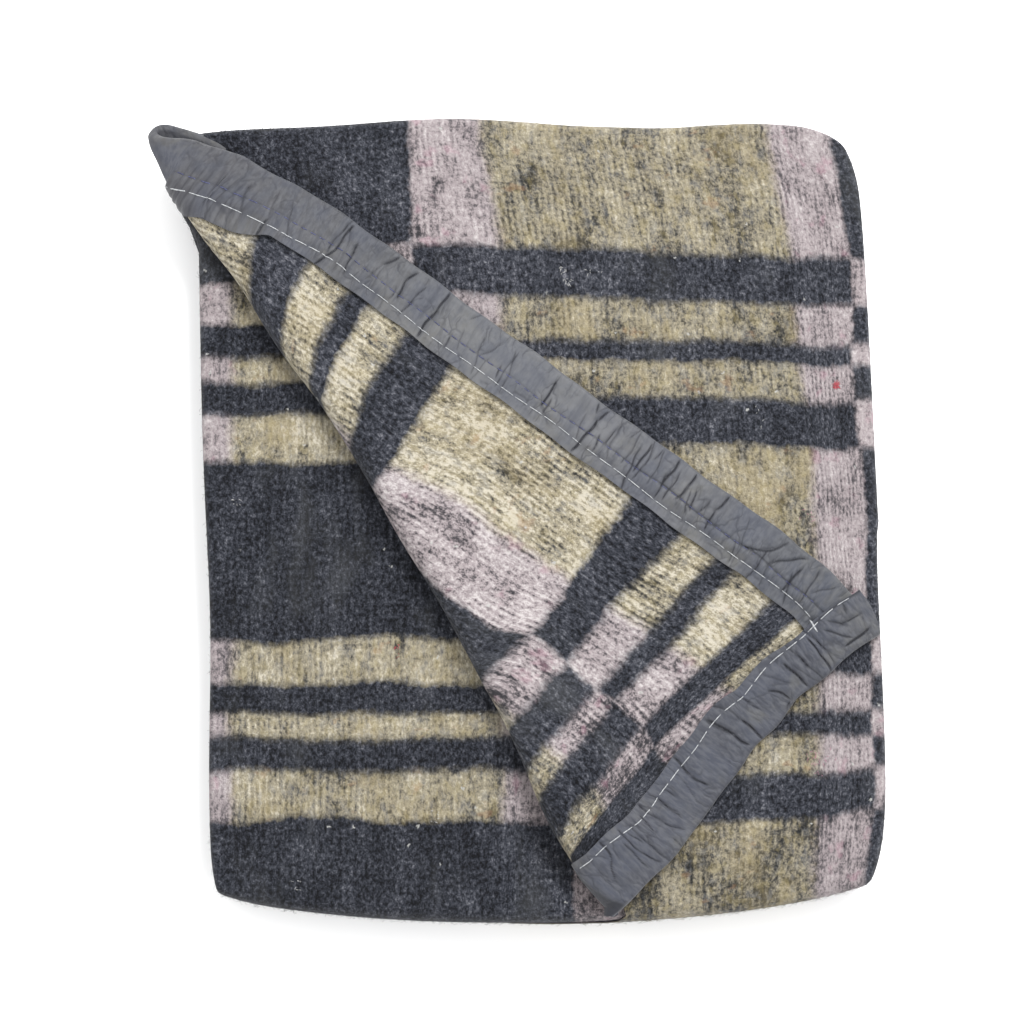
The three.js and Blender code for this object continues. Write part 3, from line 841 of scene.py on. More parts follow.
# The creased tape stands this much proud of its plain lie, and its valleys go no deeper than this.
CREASE_RISE = 0.6
DEEPEST = -0.3


class Creases:
    """Creases of a stitched tape. Each is a narrow valley along a wandering line from one place to
    another, in distance and depth, with a soft roll on one side. The main ones are listed, and small
    seeded ones, gathered at the stitches, lie between them."""

    def __init__(self, edge, main, seed, first, pitch):
        """The small creases begin at a distance first and lie about a pitch apart, each leaning from a
        low depth to a high one."""
        dice = np.random.default_rng(seed)
        places = first + np.cumsum(dice.uniform(0.25, 1.75, 300) * pitch)
        places = places[places < edge.length - 8]
        n = len(places)
        lean = dice.normal(0.12, 0.13, n)
        low, high = dice.uniform(-2, 21, n), dice.uniform(24, 37, n)
        self.start = np.concatenate([
            edge.near(main[:, :2]), np.stack([places + lean * (low - GATHER), low], axis=1)
        ])
        self.stop = np.concatenate([
            edge.near(main[:, 2:4]), np.stack([places + lean * (high - GATHER), high], axis=1)
        ])
        self.depth = np.concatenate([1.25 * main[:, 4], 0.12 + 0.65 * dice.uniform(0, 1, n) ** 2])
        count = len(self.depth)
        self.roll = 0.75 * self.depth + dice.uniform(0.05, 0.4, count)
        self.side = dice.choice([-1, 1], count)
        self.reach = dice.uniform(2.2, 6.0, count)
        self.bow = dice.normal(0.0, 0.008, count)
        self.wander = dice.uniform(0.1, 0.45, count)
        self.phase = dice.uniform(0, 2 * np.pi, count)

    def height(self, distance, depth):
        """Height of the creased tape, and the painted shade in its crease valleys: how deep in a crease
        each place is.
        """
        total = np.zeros(np.broadcast(distance, depth).shape)
        painted_shade = np.zeros_like(total)
        for k in range(len(self.depth)):
            length = math.hypot(*(self.stop[k] - self.start[k]))
            way = (self.stop[k] - self.start[k]) / length
            ahead = (distance - self.start[k, 0]) * way[0] + (depth - self.start[k, 1]) * way[1]
            off = (distance - self.start[k, 0]) * way[1] - (depth - self.start[k, 1]) * way[0]
            off = off + self.bow[k] * ahead * (length - ahead)
            off = off + self.wander[k] * np.sin(ahead / WANDER + self.phase[k])
            shown = smooth_step(-FADE, FADE, ahead)
            shown = shown * (1 - smooth_step(length - FADE, length + FADE, ahead))
            valley = np.exp(-((off / VALLEY) ** 2)) * shown
            beside = off * self.side[k] / self.reach[k]
            ridge = np.where(beside > 0, beside * np.exp(1 - beside), 0) * shown
            total += self.roll[k] * ridge - self.depth[k] * valley
            # Painted shade: darker in each crease's valley.
            painted_shade = np.maximum(painted_shade, valley * (0.15 + self.depth[k]))
        return total, painted_shade


# The tape's U: how round its web is, how much shorter its lower leg, and the points along its upper
# leg, its web and its lower leg.
WEB_ROUND = 0.9
LOWER_SHORT = 4.0
UPPER_POINTS = 40
WEB_POINTS = 9
LOWER_POINTS = 7
# Length of one step round the fold's tip in the tape's weave.
TIP_STEP = 0.8


class Tape:
    """A binding tape: the edge it covers, its width, its creases, the place of its first thread in
    the weave, the way its upper leg is raised and the way its depth stretches along the edge."""

    def __init__(self, edge, width, creases, begin, raised, stretched):
        self.edge, self.width, self.creases = edge, width, creases
        self.begin, self.raised, self.stretched = begin, raised, stretched

    def relief(self, distance, depth):
        """Height of the upper leg over its plain lie, and the painted shade of each place: how deep it is
        in a crease, a groove or a roll.
        """
        pucker, painted_shade = self.creases.height(distance, depth)
        raised, groove = self.raised(distance, depth)
        return raised + np.maximum(pucker + CREASE_RISE, DEEPEST), np.maximum(painted_shade, groove)

    def profile(self):
        """The U as two loops, its outside and its inside: depth from the edge, lift off the cloth's
        centre and how much each place belongs to the upper leg."""
        inner = CLOTH / 2 + CLEAR
        web = WEB_ROUND * (inner + TAPE)
        turn = np.linspace(0, np.pi, WEB_POINTS + 2)[1:-1]
        top_depth = np.linspace(self.width, web, UPPER_POINTS)
        low_depth = np.linspace(web, self.width - LOWER_SHORT, LOWER_POINTS)
        upper = [0 * top_depth + 1, smooth_step(-0.2, 0.9, np.cos(turn)), 0 * low_depth]
        for offset in (inner + TAPE, inner):
            depth = [top_depth, web - WEB_ROUND * offset * np.sin(turn), low_depth]
            lift = [0 * top_depth + offset, offset * np.cos(turn), 0 * low_depth - offset]
            yield np.concatenate(depth), np.concatenate(lift), np.concatenate(upper)

    def skin(self, start, stop, steps, at_tip):
        """The U carried along the edge, its upper leg creased; and the painted shade of each point, from
        its creases. start and stop give its ends by depth; at_tip adds the run round the fold's tip."""
        skin = Skin()
        rows, creases = [], []
        share = np.linspace(0, 1, steps)[:, None]
        for depth, lift, upper in self.profile():
            depth, lift, upper = depth[None], lift[None], upper[None]
            distance = start(depth) + share * (stop(depth) - start(depth))
            place = self.stretched(distance, depth)
            height, painted_shade = self.relief(distance, place)
            flare = 0.5 * smooth_step(self.width - 3, self.width, depth) * np.sin(distance / 9.0) ** 2
            wavy = place + (0.4 * np.sin(distance / 13.0) + 0.3 * np.sin(distance / 5.3 + 1))
            points = flap_rows.on_flap(self.edge.at(distance, wavy), lift + upper * (height + flare))
            painted_shade = painted_shade * upper
            if at_tip:
                more = tip_rows(points[0], place[:1], lift)
                points = np.concatenate([more, points])
                painted_shade = np.concatenate([tip_painted_shade(place[:1]), painted_shade])
                before = -TIP_STEP * np.arange(len(more), 0, -1)[:, None] + distance[:1]
                distance = np.concatenate([before, distance])
            rows.append(skin.put(points, (distance + self.begin, depth + 0 * distance)))
            creases.append(painted_shade.reshape(-1))
        outer, inside = rows
        skin.two_faces(outer, inside)
        skin.strip(inside[:, 0], outer[:, 0])
        return skin, np.concatenate(creases)

    def stitches(self, start, stop, radius, lift):
        """Sewing: each stitch a short six-sided thread from one place to another, in distance and
        depth, that dips into the tape at both ends."""
        t = np.linspace(0, 1, 9)
        spin = np.linspace(0, 2 * np.pi, 7)[:-1]
        skin = Skin()
        distance, depth = (start[:, k, None] + (stop - start)[:, k, None] * t[None] for k in range(2))
        way = (stop - start) / np.linalg.norm(stop - start, axis=1, keepdims=True)
        arch = lift * (1 - (2 * t - 1) ** 4) - 0.35 * (2 * t - 1) ** 8
        rise = CLOTH / 2 + CLEAR + TAPE + self.relief(distance, depth)[0] + arch[None]
        slim = (radius * np.sqrt(np.maximum(1 - (2 * t - 1) ** 6, 0.05)))[None, :, None]
        beside = slim * np.cos(spin)
        around_distance = distance[..., None] - way[:, 1, None, None] * beside
        around_depth = depth[..., None] + way[:, 0, None, None] * beside
        plan = self.edge.at(around_distance, around_depth)
        points = flap_rows.on_flap(plan, rise[..., None] + slim * np.sin(spin))
        numbers = skin.put(points, (around_distance, around_depth))
        ring = np.concatenate([numbers, numbers[..., :1]], axis=2)
        here, after = ring[:, :-1], ring[:, 1:]
        skin.add(np.stack([here[..., :-1], here[..., 1:], after[..., 1:], after[..., :-1]], axis=-1))
        for end in (numbers[:, 0, ::-1], numbers[:, -1]):
            skin.add(end[:, [0, 1, 2, 3]])
            skin.add(end[:, [3, 4, 5, 0]])
        return skin


tip_path = curve_through(TIP_EDGE, np.linspace(0, len(TIP_EDGE) - 1, TIP_STEPS))
TIP_SWING = 0.0095


def tip_rows(first, depth, lift):
    """Rows of the tape round the tip of the fold and back along the edge below: the U carried along
    the tip's path, swinging right with the square of its depth, and leaving the first row of the
    upper run without a step."""
    path = tip_path
    plan = unsettle(path[:, :2])
    turned = np.radians(path[:, 3])[:, None]
    swing = TIP_SWING * np.maximum(depth, 0) ** 2
    points = np.stack([
        plan[:, :1] + swing - lift * np.sin(turned),
        plan[:, 1:] - depth + 0.3 * lift * np.sin(turned),
        TOP_PLY + path[:, 2:3] + lift * np.cos(turned) + 0 * depth,
    ], axis=-1)
    far_left = path[:, 0].argmin()
    progress = np.clip((path[:, 0] - path[0, 0]) / (path[far_left, 0] - path[0, 0]), 0, 1)
    progress[far_left:] = 1
    points += (first - points[0])[None] * (1 - progress)[:, None, None]
    return points[:0:-1]


def tip_painted_shade(depth):
    """Painted shade on the tip's rows, as if deep in the fold: the lower run, where it is covered."""
    return smooth_step(95, 150, tip_path[:0:-1, 3:]) * smooth_step(2.5, 6, depth)


def painted_shade_attribute(piece, values):
    """Keeps each point's painted shade, darker deeper in a crease, groove or roll, for the tape's finish
    to read.
    """
    layer = piece.data.attributes.new("painted_shade", "FLOAT", "POINT")
    layer.data.foreach_set("value", values.astype(np.float32))


def side_line(distance):
    """Depth of the white stitches on the side tape."""
    lower = 1.0 * (1 - smooth_step(50, 120, distance))
    return 27.2 + lower + 0.5 * np.sin(distance / 23) + 0.4 * np.sin(distance / 8.3)


def lilac_line(distance):
    """Depth of the lilac stitches on the side tape."""
    return 19.8 + 0.6 * np.sin(distance / 31 + 1) + 0.4 * np.sin(distance / 9.1)


def end_width(distance):
    """Width the end tape shows, narrow at the corner and wide at the fold."""
    return np.interp(distance, [8, 60, 110, 205], [27.0, 28.0, 33.0, 36.5])


def end_line(distance):
    """Depth of the white stitches on the end tape: on its very edge at the corner."""
    margin = np.interp(distance, [30, 45, 65, 110, 150, 205], [1.2, 2.0, 4.0, 6.5, 7.5, 5.0])
    return end_width(distance) - margin + 0.4 * np.sin(distance / 21 + 2) + 0.4 * np.sin(distance / 7.7)


def valley_at(depth, line, width):
    """A bell across a line at some depth."""
    return np.exp(-(((depth - line) / width) ** 2))


def side_raised(distance, depth):
    """Grooves along both stitch lines and a puffed ridge between, fuller towards the corner, and fine
    ribs across the tape near the fold's tip; and painted shade along the lilac groove and in the ribs'
    hollows."""
    full = 0.3 + 0.7 * smooth_step(230, 330, distance)
    white, lilac = side_line(distance), lilac_line(distance)
    puff = np.clip(1 - ((2 * depth - white - lilac) / (white - lilac)) ** 2, 0, 1)
    grooves = 0.25 * valley_at(depth, white + 0.6, 0.9) + 0.55 * valley_at(depth, lilac, 1.0)
    rib = np.sin(distance / 0.55 + 0.8 * np.sin(distance / 5)) * smooth_step(6, 16, depth)
    rib = rib * smooth_step(1, 6, distance) * (1 - smooth_step(28, 62, distance))
    # Painted shade along the lilac groove and in the ribs' hollows.
    dark = np.maximum((0.35 + 0.4 * full) * valley_at(depth, lilac - 0.3, 0.7), -0.55 * rib)
    return full * (0.9 * puff - grooves) + 0.3 * rib, dark


def end_raised(distance, depth):
    """The end tape lies over the side tape where they cross, is grooved along its stitches, and turns
    down past a ridge where it rolls round the fold. Shade is painted along the stitch groove and on the
    rolled face."""
    lapped = 1.5 * (1 - smooth_step(34, 60, distance))
    groove = valley_at(depth, end_line(distance), 1.0)
    inward = depth / end_width(distance)
    ridge = np.interp(inward, [0, 0.2, 0.45, 0.65, 1], [-3, 0.6, 1.8, 2.2, 2.2])
    ridge = ridge + end_edge.length - END_SPARE
    rolled = smooth_step(0, 3.5, distance - ridge)
    height = lapped - 0.3 * groove + 0.9 * np.exp(-(((distance - ridge) / 2.2) ** 2)) - 0.6 * rolled
    # Painted shade: along the stitch groove, darker near the corner, and on the face that rolls down.
    return height, np.maximum((0.3 + 0.5 * (1 - smooth_step(28, 45, distance))) * groove, 0.8 * rolled)


def side_stretched(distance, depth):
    """The side tape's margin past its stitches is wider near the fold's tip."""
    return depth + 7 * (1 - smooth_step(38, 58, distance)) * smooth_step(24, 34, depth)


def end_stretched(distance, depth):
    """The end tape's depth scaled to the width it shows."""
    return depth * end_width(distance) / END_TAPE_WIDTH


side_edge = Edge(SIDE_EDGE)
end_edge = Edge(END_EDGE)
side_creases = Creases(side_edge, SIDE_CREASES, seed=14, first=25, pitch=6)
end_creases = Creases(end_edge, END_CREASES, seed=23, first=8, pitch=5)
# The end tape's weave goes on past the side tape's, so that no mark repeats.
END_BEGIN = 600.0
side_binding = Tape(side_edge, TAPE_WIDTH, side_creases, 0, side_raised, side_stretched)
end_binding = Tape(end_edge, END_TAPE_WIDTH, end_creases, END_BEGIN, end_raised, end_stretched)


def along_line(line, places, length):
    """Ends of stitches along a stitch line, in distance and depth."""
    ends = (places - length / 2, places + length / 2)
    return [np.stack([end, line(end)], axis=1) for end in ends]


class Value:
    """An output of one of a material's nodes, for sums written with the usual signs."""

    def __init__(self, graph, output):
        self.graph, self.output = graph, output

    def __add__(self, other):
        return self.graph.math("ADD", self, other)

    def __sub__(self, other):
        return self.graph.math("SUBTRACT", self, other)

    def __rsub__(self, other):
        return self.graph.math("SUBTRACT", other, self)

    def __mul__(self, other):
        return self.graph.math("MULTIPLY", self, other)

    def __truediv__(self, other):
        return self.graph.math("DIVIDE", self, other)


class Graph:
    """A new material, with short words for adding its nodes."""

    def __init__(self, name):
        self.material = bpy.data.materials.new(name)
        self.material.use_nodes = True
        self.tree = self.material.node_tree
        self.tree.nodes.clear()

    def link(self, source, target):
        """Links a socket to a value, or sets it to a number or colour."""
        if isinstance(source, Value):
            self.tree.links.new(source.output, target)
        else:
            target.default_value = source

    def node(self, kind, inputs=(), **settings):
        """A node with its settings, and its inputs by number or name."""
        made = self.tree.nodes.new(kind)
        for key, value in settings.items():
            setattr(made, key, value)
        for key, value in dict(inputs).items():
            self.link(value, made.inputs[key])
        return made

    def values(self, node, *outputs):
        """Outputs of a node, by number or name."""
        return [Value(self, node.outputs[key]) for key in outputs]

    def value(self, kind, inputs=(), output=0, **settings):
        """One output of a new node."""
        return self.values(self.node(kind, inputs, **settings), output)[0]

    def weave(self):
        """The piece's own weave coordinates, in metres."""
        return self.value("ShaderNodeUVMap", uv_map="weave")

    def attribute(self, name):
        """A number kept on the piece's points."""
        return self.value("ShaderNodeAttribute", output="Fac", attribute_name=name)

    def split(self, where):
        """The first two coordinates of places."""
        return self.values(self.node("ShaderNodeSeparateXYZ", {0: where}), 0, 1)

    def mapped(self, where, stretch, shift=(0, 0, 0)):
        """Places stretched and shifted."""
        return self.value("ShaderNodeMapping", {0: where, 1: shift, 3: stretch})

    def shaken(self, where, scale, detail, amount):
        """Places shifted about by a noise."""
        inputs = {"Vector": where, "Scale": scale, "Detail": detail}
        noise = self.value("ShaderNodeTexNoise", inputs, "Color", noise_dimensions="2D")
        off = self.value("ShaderNodeVectorMath", {0: noise, 1: (0.5, 0.5, 0.5)}, operation="SUBTRACT")
        inputs = {0: off, 1: (amount, amount, 0), 2: where}
        return self.value("ShaderNodeVectorMath", inputs, operation="MULTIPLY_ADD")

    def math(self, operation, *values, clamp=False):
        """One step of arithmetic."""
        return self.value("ShaderNodeMath", enumerate(values), operation=operation, use_clamp=clamp)

    def step(self, value, low, high, out_low=0.0, out_high=1.0):
        """An S curve from one outcome at low to another at high."""
        inputs = enumerate((value, low, high, out_low, out_high))
        return self.value("ShaderNodeMapRange", inputs, interpolation_type="SMOOTHSTEP")

    def mix(self, share, one, other):
        """A share of the other colour laid over one."""
        return self.value("ShaderNodeMix", {0: share, 6: one, 7: other}, 2, data_type="RGBA")

    def noise(self, where, scale, detail, rough, stretch=None, shift=0.0):
        """Cloudy noise, drawn out by a stretch and read from a shifted place."""
        if stretch is not None or shift:
            where = self.mapped(where, stretch or (1, 1, 1), (shift, shift * 0.7, 0))
        inputs = {"Vector": where, "Scale": scale, "Detail": detail, "Roughness": rough}
        return self.value("ShaderNodeTexNoise", inputs, noise_dimensions="2D")

    def cells(self, where, scale, feature):
        """A node of scattered cells."""
        inputs = {"Vector": where, "Scale": scale}
        return self.node("ShaderNodeTexVoronoi", inputs, voronoi_dimensions="2D", feature=feature)

    def ramp(self, where, stops):
        """A colour ramp through stops, each a place from 0 to 1 and its colour."""
        made = self.node("ShaderNodeValToRGB", {0: where})
        elements = made.color_ramp.elements
        elements[0].position, elements[0].color = stops[0]
        elements[1].position, elements[1].color = stops[-1]
        for place, shade in stops[1:-1]:
            elements.new(place).color = shade
        return self.values(made, 0)[0]

    def finish(self, shade, sockets, height=None, strength=0.0, distance=0.0):
        """The shader with its colour, its other sockets by name and its bump; returns the material."""
        inputs = {"Base Color": shade, **sockets}
        if height is not None:
            bump = {"Strength": strength, "Distance": distance, "Height": height}
            inputs["Normal"] = self.value("ShaderNodeBump", bump)
        self.node("ShaderNodeOutputMaterial", {0: self.value("ShaderNodeBsdfPrincipled", inputs)})
        return self.material


# How many times the picture's white the light on the packet is.
LIGHT = 2.4


def colour(red, green, blue):
    """Surface colour that shows in that light as a screen colour, 0 to 255."""

    def linear(value):
        """A screen value as a share of white light."""
        value /= 255
        return value / 12.92 if value <= 0.04045 else ((value + 0.055) / 1.055) ** 2.4

    return (linear(red) / LIGHT, linear(green) / LIGHT, linear(blue) / LIGHT, 1.0)


def spaced(*shades):
    """Stops of a ramp whose shades are evenly spaced."""
    return [(k / (len(shades) - 1), shade) for k, shade in enumerate(shades)]


def cloth_material():
    """Felted check: bands and columns swap charcoal and light wool, the light wool pink near the
    columns' sides and khaki between. One wool tone, made of clouds, flecks, streaks and ribs along
    the columns, is read through a ramp for each of the three colours."""
    g = Graph("felted check")
    weave = g.weave()
    u, v = g.split(g.shaken(g.shaken(weave, 17.0, 2.0, 0.010), 210.0, 3.0, 0.0045))

    column = COLUMN * MM
    swing = g.math("PINGPONG", u + column * 8.5, column)
    light_column = g.step(swing, column / 2 - COLUMN_SOFT * MM, column / 2 + COLUMN_SOFT * MM)
    to_side = g.math("PINGPONG", u + column * 8, column / 2)
    khaki_part = g.step(to_side, (PINK_SIDE - PINK_SOFT) * MM, (PINK_SIDE + PINK_SOFT) * MM)

    low, high = -0.30, 0.30
    black, white = (0, 0, 0, 1), (1, 1, 1, 1)
    stops = [(0.0, black)]
    for k, edge in enumerate(np.sort(BAND_EDGES)):
        sides = (black, white) if k % 2 == 0 else (white, black)
        for soft, shade in zip((-BAND_SOFT, BAND_SOFT), sides):
            stops.append((((edge + soft) * MM - low) / (high - low), shade))
    stops.append((1.0, black))
    band = g.ramp((v - low) / (high - low), stops)
    light = g.math("SUBTRACT", light_column + band, light_column * band * 2.0, clamp=True)

    cloud = g.noise(weave, 46.0, 3.0, 0.7, stretch=(1.0, 0.55, 1.0), shift=7.7)
    smudge = g.noise(weave, 85.0, 4.0, 0.6, stretch=(1.0, 0.4, 1.0), shift=11.9)
    fleck = g.noise(weave, 430.0, 2.5, 0.85, stretch=(1.0, 0.8, 1.0), shift=3.1)
    streak = g.noise(weave, 290.0, 2.0, 0.6, stretch=(1.0, 0.09, 1.0), shift=1.3)
    dash = g.noise(weave, 230.0, 2.0, 0.6, stretch=(0.3, 1.0, 1.0), shift=6.1)
    warp = g.split(g.shaken(weave, 26.0, 2.0, 0.004))[0]
    rib = g.math("SINE", warp * (2 * math.pi / (RIB_PITCH * MM)))
    rib = rib * g.step(g.noise(weave, 22.0, 3.0, 0.6, shift=9.4), 0.36, 0.66, 0.15, 1.0)

    turned = g.attribute("turned")
    tone = 0.0
    for source, share in ((cloud, 1.0), (fleck, 1.28), (streak, 0.32), (dash, 0.3)):
        tone = (source - 0.5) * share + tone
    light_tone = tone * (turned * 0.40 + 1.0) + 0.5
    # Painted shade: darker towards the packet's front, and on the turned corner beyond its column's side
    # towards the front.
    far = g.step(u, 0.004, -0.004) * g.step(v, -0.02, -0.16, 0.0, 0.27)
    painted_front_shade = g.step(v, -0.12, -0.20, 0.0, 0.12) + turned * far
    beneath = g.step(u, -0.02, -0.08)
    ribbed = rib * (turned * 0.07 + 0.10) + light_tone
    stained = ribbed - g.step(smudge, 0.57, 0.76, 0.0, 0.34) - painted_front_shade
    dark_tone = tone + (fleck * 0.3 - cloud * 0.5) + 0.6 - beneath * 0.08

    pale = turned * 0.23 + beneath * 0.13
    khaki = g.ramp(stained + pale, spaced(
        colour(42, 43, 44), colour(91, 88, 81), colour(156, 148, 130), colour(189, 180, 156),
        colour(229, 221, 202),
    ))
    honey = g.noise(weave, 30.0, 3.0, 0.6, stretch=(1.0, 0.5, 1.0), shift=15.2)
    plain = 1.0 - turned * 0.25
    khaki = g.mix(g.step(honey, 0.50, 0.72, 0.0, 0.28) * plain, khaki, colour(182, 164, 118))
    tuft = g.noise(weave, 170.0, 3.0, 0.7, stretch=(1.0, 0.6, 1.0), shift=31.3)
    khaki = g.mix(g.step(tuft, 0.50, 0.68, 0.0, 0.32) * plain, khaki, colour(178, 163, 116))
    khaki = g.mix(g.step(tuft, 0.46, 0.32, 0.0, 0.30), khaki, colour(146, 147, 149))
    rust = g.noise(weave, 75.0, 3.0, 0.6, stretch=(0.7, 1.0, 1.0), shift=19.5)
    khaki = g.mix(g.step(rust, 0.66, 0.76, 0.0, 0.35), khaki, colour(178, 142, 108))
    pink = g.ramp(stained + turned * 0.06, spaced(
        colour(66, 64, 68), colour(122, 115, 118), colour(181, 169, 171), colour(202, 192, 193),
        colour(231, 223, 222),
    ))
    rosy = g.step(g.noise(weave, 60.0, 3.0, 0.6, shift=23.1), 0.60, 0.74, 0.0, 0.35)
    pink = g.mix(rosy, pink, colour(196, 150, 166))
    charcoal = g.ramp(dark_tone, spaced(
        colour(7, 8, 12), colour(26, 28, 35), colour(57, 60, 69), colour(91, 93, 102),
        colour(146, 147, 154),
    ))
    ashen = g.noise(weave, 20.0, 4.0, 0.6, stretch=(1.0, 0.4, 1.0), shift=27.7)
    charcoal = g.mix(g.step(ashen, 0.52, 0.72, 0.0, 0.30), charcoal, colour(92, 93, 94))
    shade = g.mix(light, charcoal, g.mix(khaki_part, pink, khaki))

    # Stray lint caught in the felt.
    specks = g.cells(g.shaken(weave, 500.0, 2.0, 0.003), 95.0, "F1")
    distance, hue = g.values(specks, "Distance", "Color")
    chance = g.value("ShaderNodeSeparateColor", {0: hue}, 1)
    caught = g.step(distance, 0.10, 0.03) * g.step(chance, 0.955, 0.965)
    shade = g.mix(caught * 0.75, shade, colour(214, 214, 210))

    height = fleck * 1.3 + cloud * 1.2 + rib * 0.14 + light * 0.2
    felted = {
        "Roughness": 0.97, "Specular IOR Level": 0.08, "Sheen Weight": 0.06, "Sheen Roughness": 0.6,
    }
    return g.finish(shade, felted, height, strength=0.7, distance=0.0012)


def tape_material():
    """Slate binding tape: a close weave with a soft sheen, paler along the middle of the side, dull
    brownish wear in patches, crinkled all over, with painted shade along its crinkles and in its creases."""
    g = Graph("slate tape")
    weave = g.weave()
    along = g.ramp(g.split(weave)[0], (
        (0.0, colour(80, 80, 86)), (0.10, colour(84, 85, 90)), (0.20, colour(118, 119, 122)),
        (0.30, colour(107, 108, 113)), (0.43, colour(76, 79, 87)), (0.60, colour(71, 74, 85)),
        (0.82, colour(71, 73, 83)),
    ))
    patch = g.noise(weave, 34.0, 4.0, 0.6)
    soil = g.noise(weave, 22.0, 4.0, 0.65, shift=14.0)
    fine = g.noise(weave, 480.0, 3.0, 0.6, stretch=(1.0, 0.35, 1.0), shift=4.0)
    streak = g.noise(weave, 150.0, 4.0, 0.6, stretch=(1.0, 0.14, 1.0), shift=8.0)
    shade = g.mix(g.step(patch, 0.42, 0.66, 0.0, 0.55), along, colour(84, 89, 104))
    shade = g.mix(g.step(soil, 0.52, 0.70, 0.0, 0.45), shade, colour(118, 116, 108))
    shade = g.mix(g.step(fine, 0.35, 0.65, 0.0, 0.30), shade, colour(124, 126, 132))
    shade = g.mix(g.step(streak, 0.48, 0.70, 0.0, 0.42), shade, colour(70, 74, 86))
    bent = g.mapped(g.shaken(weave, 60.0, 3.0, 0.012), stretch=(1, 0.5, 1))
    crinkle = g.values(g.cells(bent, 135.0, "DISTANCE_TO_EDGE"), "Distance")[0]
    crumpled = g.step(g.noise(weave, 48.0, 3.0, 0.6, shift=21.0), 0.44, 0.62)
    # Painted shade along the crinkles' lines.
    line = g.step(crinkle, 0.09, 0.0) * crumpled
    shade = g.mix(line * 0.5, shade, colour(46, 48, 58))
    # Painted shade from the points' stored shade: creases, grooves, the rolled end and the covered lower
    # run at the tip.
    shade = g.mix(g.step(g.attribute("painted_shade"), 0.14, 0.85, 0.0, 0.86), shade, colour(34, 36, 46))
    facet = g.step(crinkle, 0.0, 0.30) * crumpled
    height = fine * 0.4 + streak * 0.6 + facet * 0.9
    rough = g.step(patch, 0.3, 0.7, 0.62, 0.78)
    satin = {"Roughness": rough, "Specular IOR Level": 0.3, "Sheen Weight": 0.1}
    return g.finish(shade, satin, height, strength=0.55, distance=0.0010)


def thread_material(name, dull, bright):
    """Spun thread: a fine noise between a dull and a bright tone."""
    g = Graph(name)
    twist = g.noise(g.weave(), 900.0, 2.0, 0.5)
    shade = g.mix(g.step(twist, 0.35, 0.65), dull, bright)
    return g.finish(shade, {"Roughness": 0.7}, twist, strength=0.4, distance=0.0003)


def wear(piece, material, slot, *nodes):
    """Gives a piece its finish and its body, and hides the solids that it stands for; slot is not used."""
    piece.data.materials.append(material)
    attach(piece, "root")
    if nodes:
        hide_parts(*nodes)
    return piece


# How far fibres stay above the floor, in metres.
FLOOR_CLEAR = 0.0001


def fibres(name, surface, faces, length, thick, rise, spread, dice):
    """Short felt fibres: each a thin three-sided thread rooted at a random place on one of the faces,
    leaning over in a random direction and bending down to a point at its tip. spread is the part of
    the face, about its middle, that they root in. None goes below the floor."""
    points, quads, checks, turned = surface
    n = len(faces)
    corner = quads[faces]
    a, b = 0.5 + spread * dice.uniform(-0.5, 0.5, (2, n, 1))

    def blend(values):
        """Values of a face's four corners, mixed at the fibre's root."""
        first, second, third, fourth = (values[corner[:, k]] for k in range(4))
        return (first * (1 - a) + second * a) * (1 - b) + (fourth * (1 - a) + third * a) * b

    root = blend(points)
    one, two, three, four = (points[corner[:, k]] for k in range(4))
    up = np.cross(three - one, four - two)
    up /= np.linalg.norm(up, axis=1, keepdims=True)
    along = dice.normal(0, 1, (n, 3))
    along -= up * (along * up).sum(axis=1, keepdims=True)
    along /= np.linalg.norm(along, axis=1, keepdims=True)
    beside = np.cross(up, along)
    size = length * dice.uniform(0.45, 1.25, (n, 1)) * MM
    lift = dice.uniform(*rise, (n, 1))
    curl = dice.normal(0, 0.35, (n, 1))
    middle = root + size * (0.55 * along + lift * up + 0.3 * curl * beside)
    tip = root + size * (along + 0.8 * lift * up + curl * beside)
    spin = (2 * np.pi * np.arange(3) / 3)[None, :, None]
    ring = thick * MM * (np.cos(spin) * beside[:, None] + np.sin(spin) * up[:, None])
    every = np.concatenate([root[:, None] + ring, middle[:, None] + 0.75 * ring, tip[:, None]], axis=1)
    every[..., 2] = np.maximum(every[..., 2], FLOOR_CLEAR)
    # Each fibre has two rings of three points and a tip.
    base = 7 * np.arange(n)[:, None]
    sides = [base + np.array([k, (k + 1) % 3, 3 + (k + 1) % 3, 3 + k]) for k in range(3)]
    ends = [base + np.array([3 + k, 3 + (k + 1) % 3, 6]) for k in range(3)]
    rings, tips = (np.concatenate(part).tolist() for part in (sides, ends))
    check = np.repeat(blend(checks), 7, axis=0)
    share = np.repeat(blend(turned[:, None])[:, 0], 7)
    return mesh_piece(name, every.reshape(-1, 3), rings + tips, check, share)


def face_sizes(surface, faces):
    """Areas, heights of the normals and centres of faces."""
    points, quads = surface[:2]
    a, b, c, d = (points[quads[faces, k]] for k in range(4))
    normal = np.cross(c - a, d - b) / 2
    area = np.linalg.norm(normal, axis=1)
    return area, normal[:, 2] / area, (a + b + c + d) / 4


cloth_skin, seen = blanket_skin()
wool = cloth_material()
cloth = wear(cloth_skin.make("blanket_cloth"), wool, "cloth", "blanket")

# The pile: its fibres by number, and how far over a face may lean to bear them.
FIBRES = 18000
LEANING = -0.3
dice = np.random.default_rng(31)
area, steep, centre = face_sizes(cloth_skin.surface, seen)
weight = area * (steep > LEANING)
rooted = dice.choice(seen, FIBRES, p=weight / weight.sum())
pile = fibres(
    "felt_pile", cloth_skin.surface, rooted,
    length=3.6, thick=0.075, rise=(0.04, 0.42), spread=1, dice=dice,
)
wear(pile, wool, "cloth")


# Lint lies on faces that look up, on the uppermost of those about its place.
LOOKING_UP = 0.4
LEAST_REACH = 5.0
UPPERMOST = 0.004


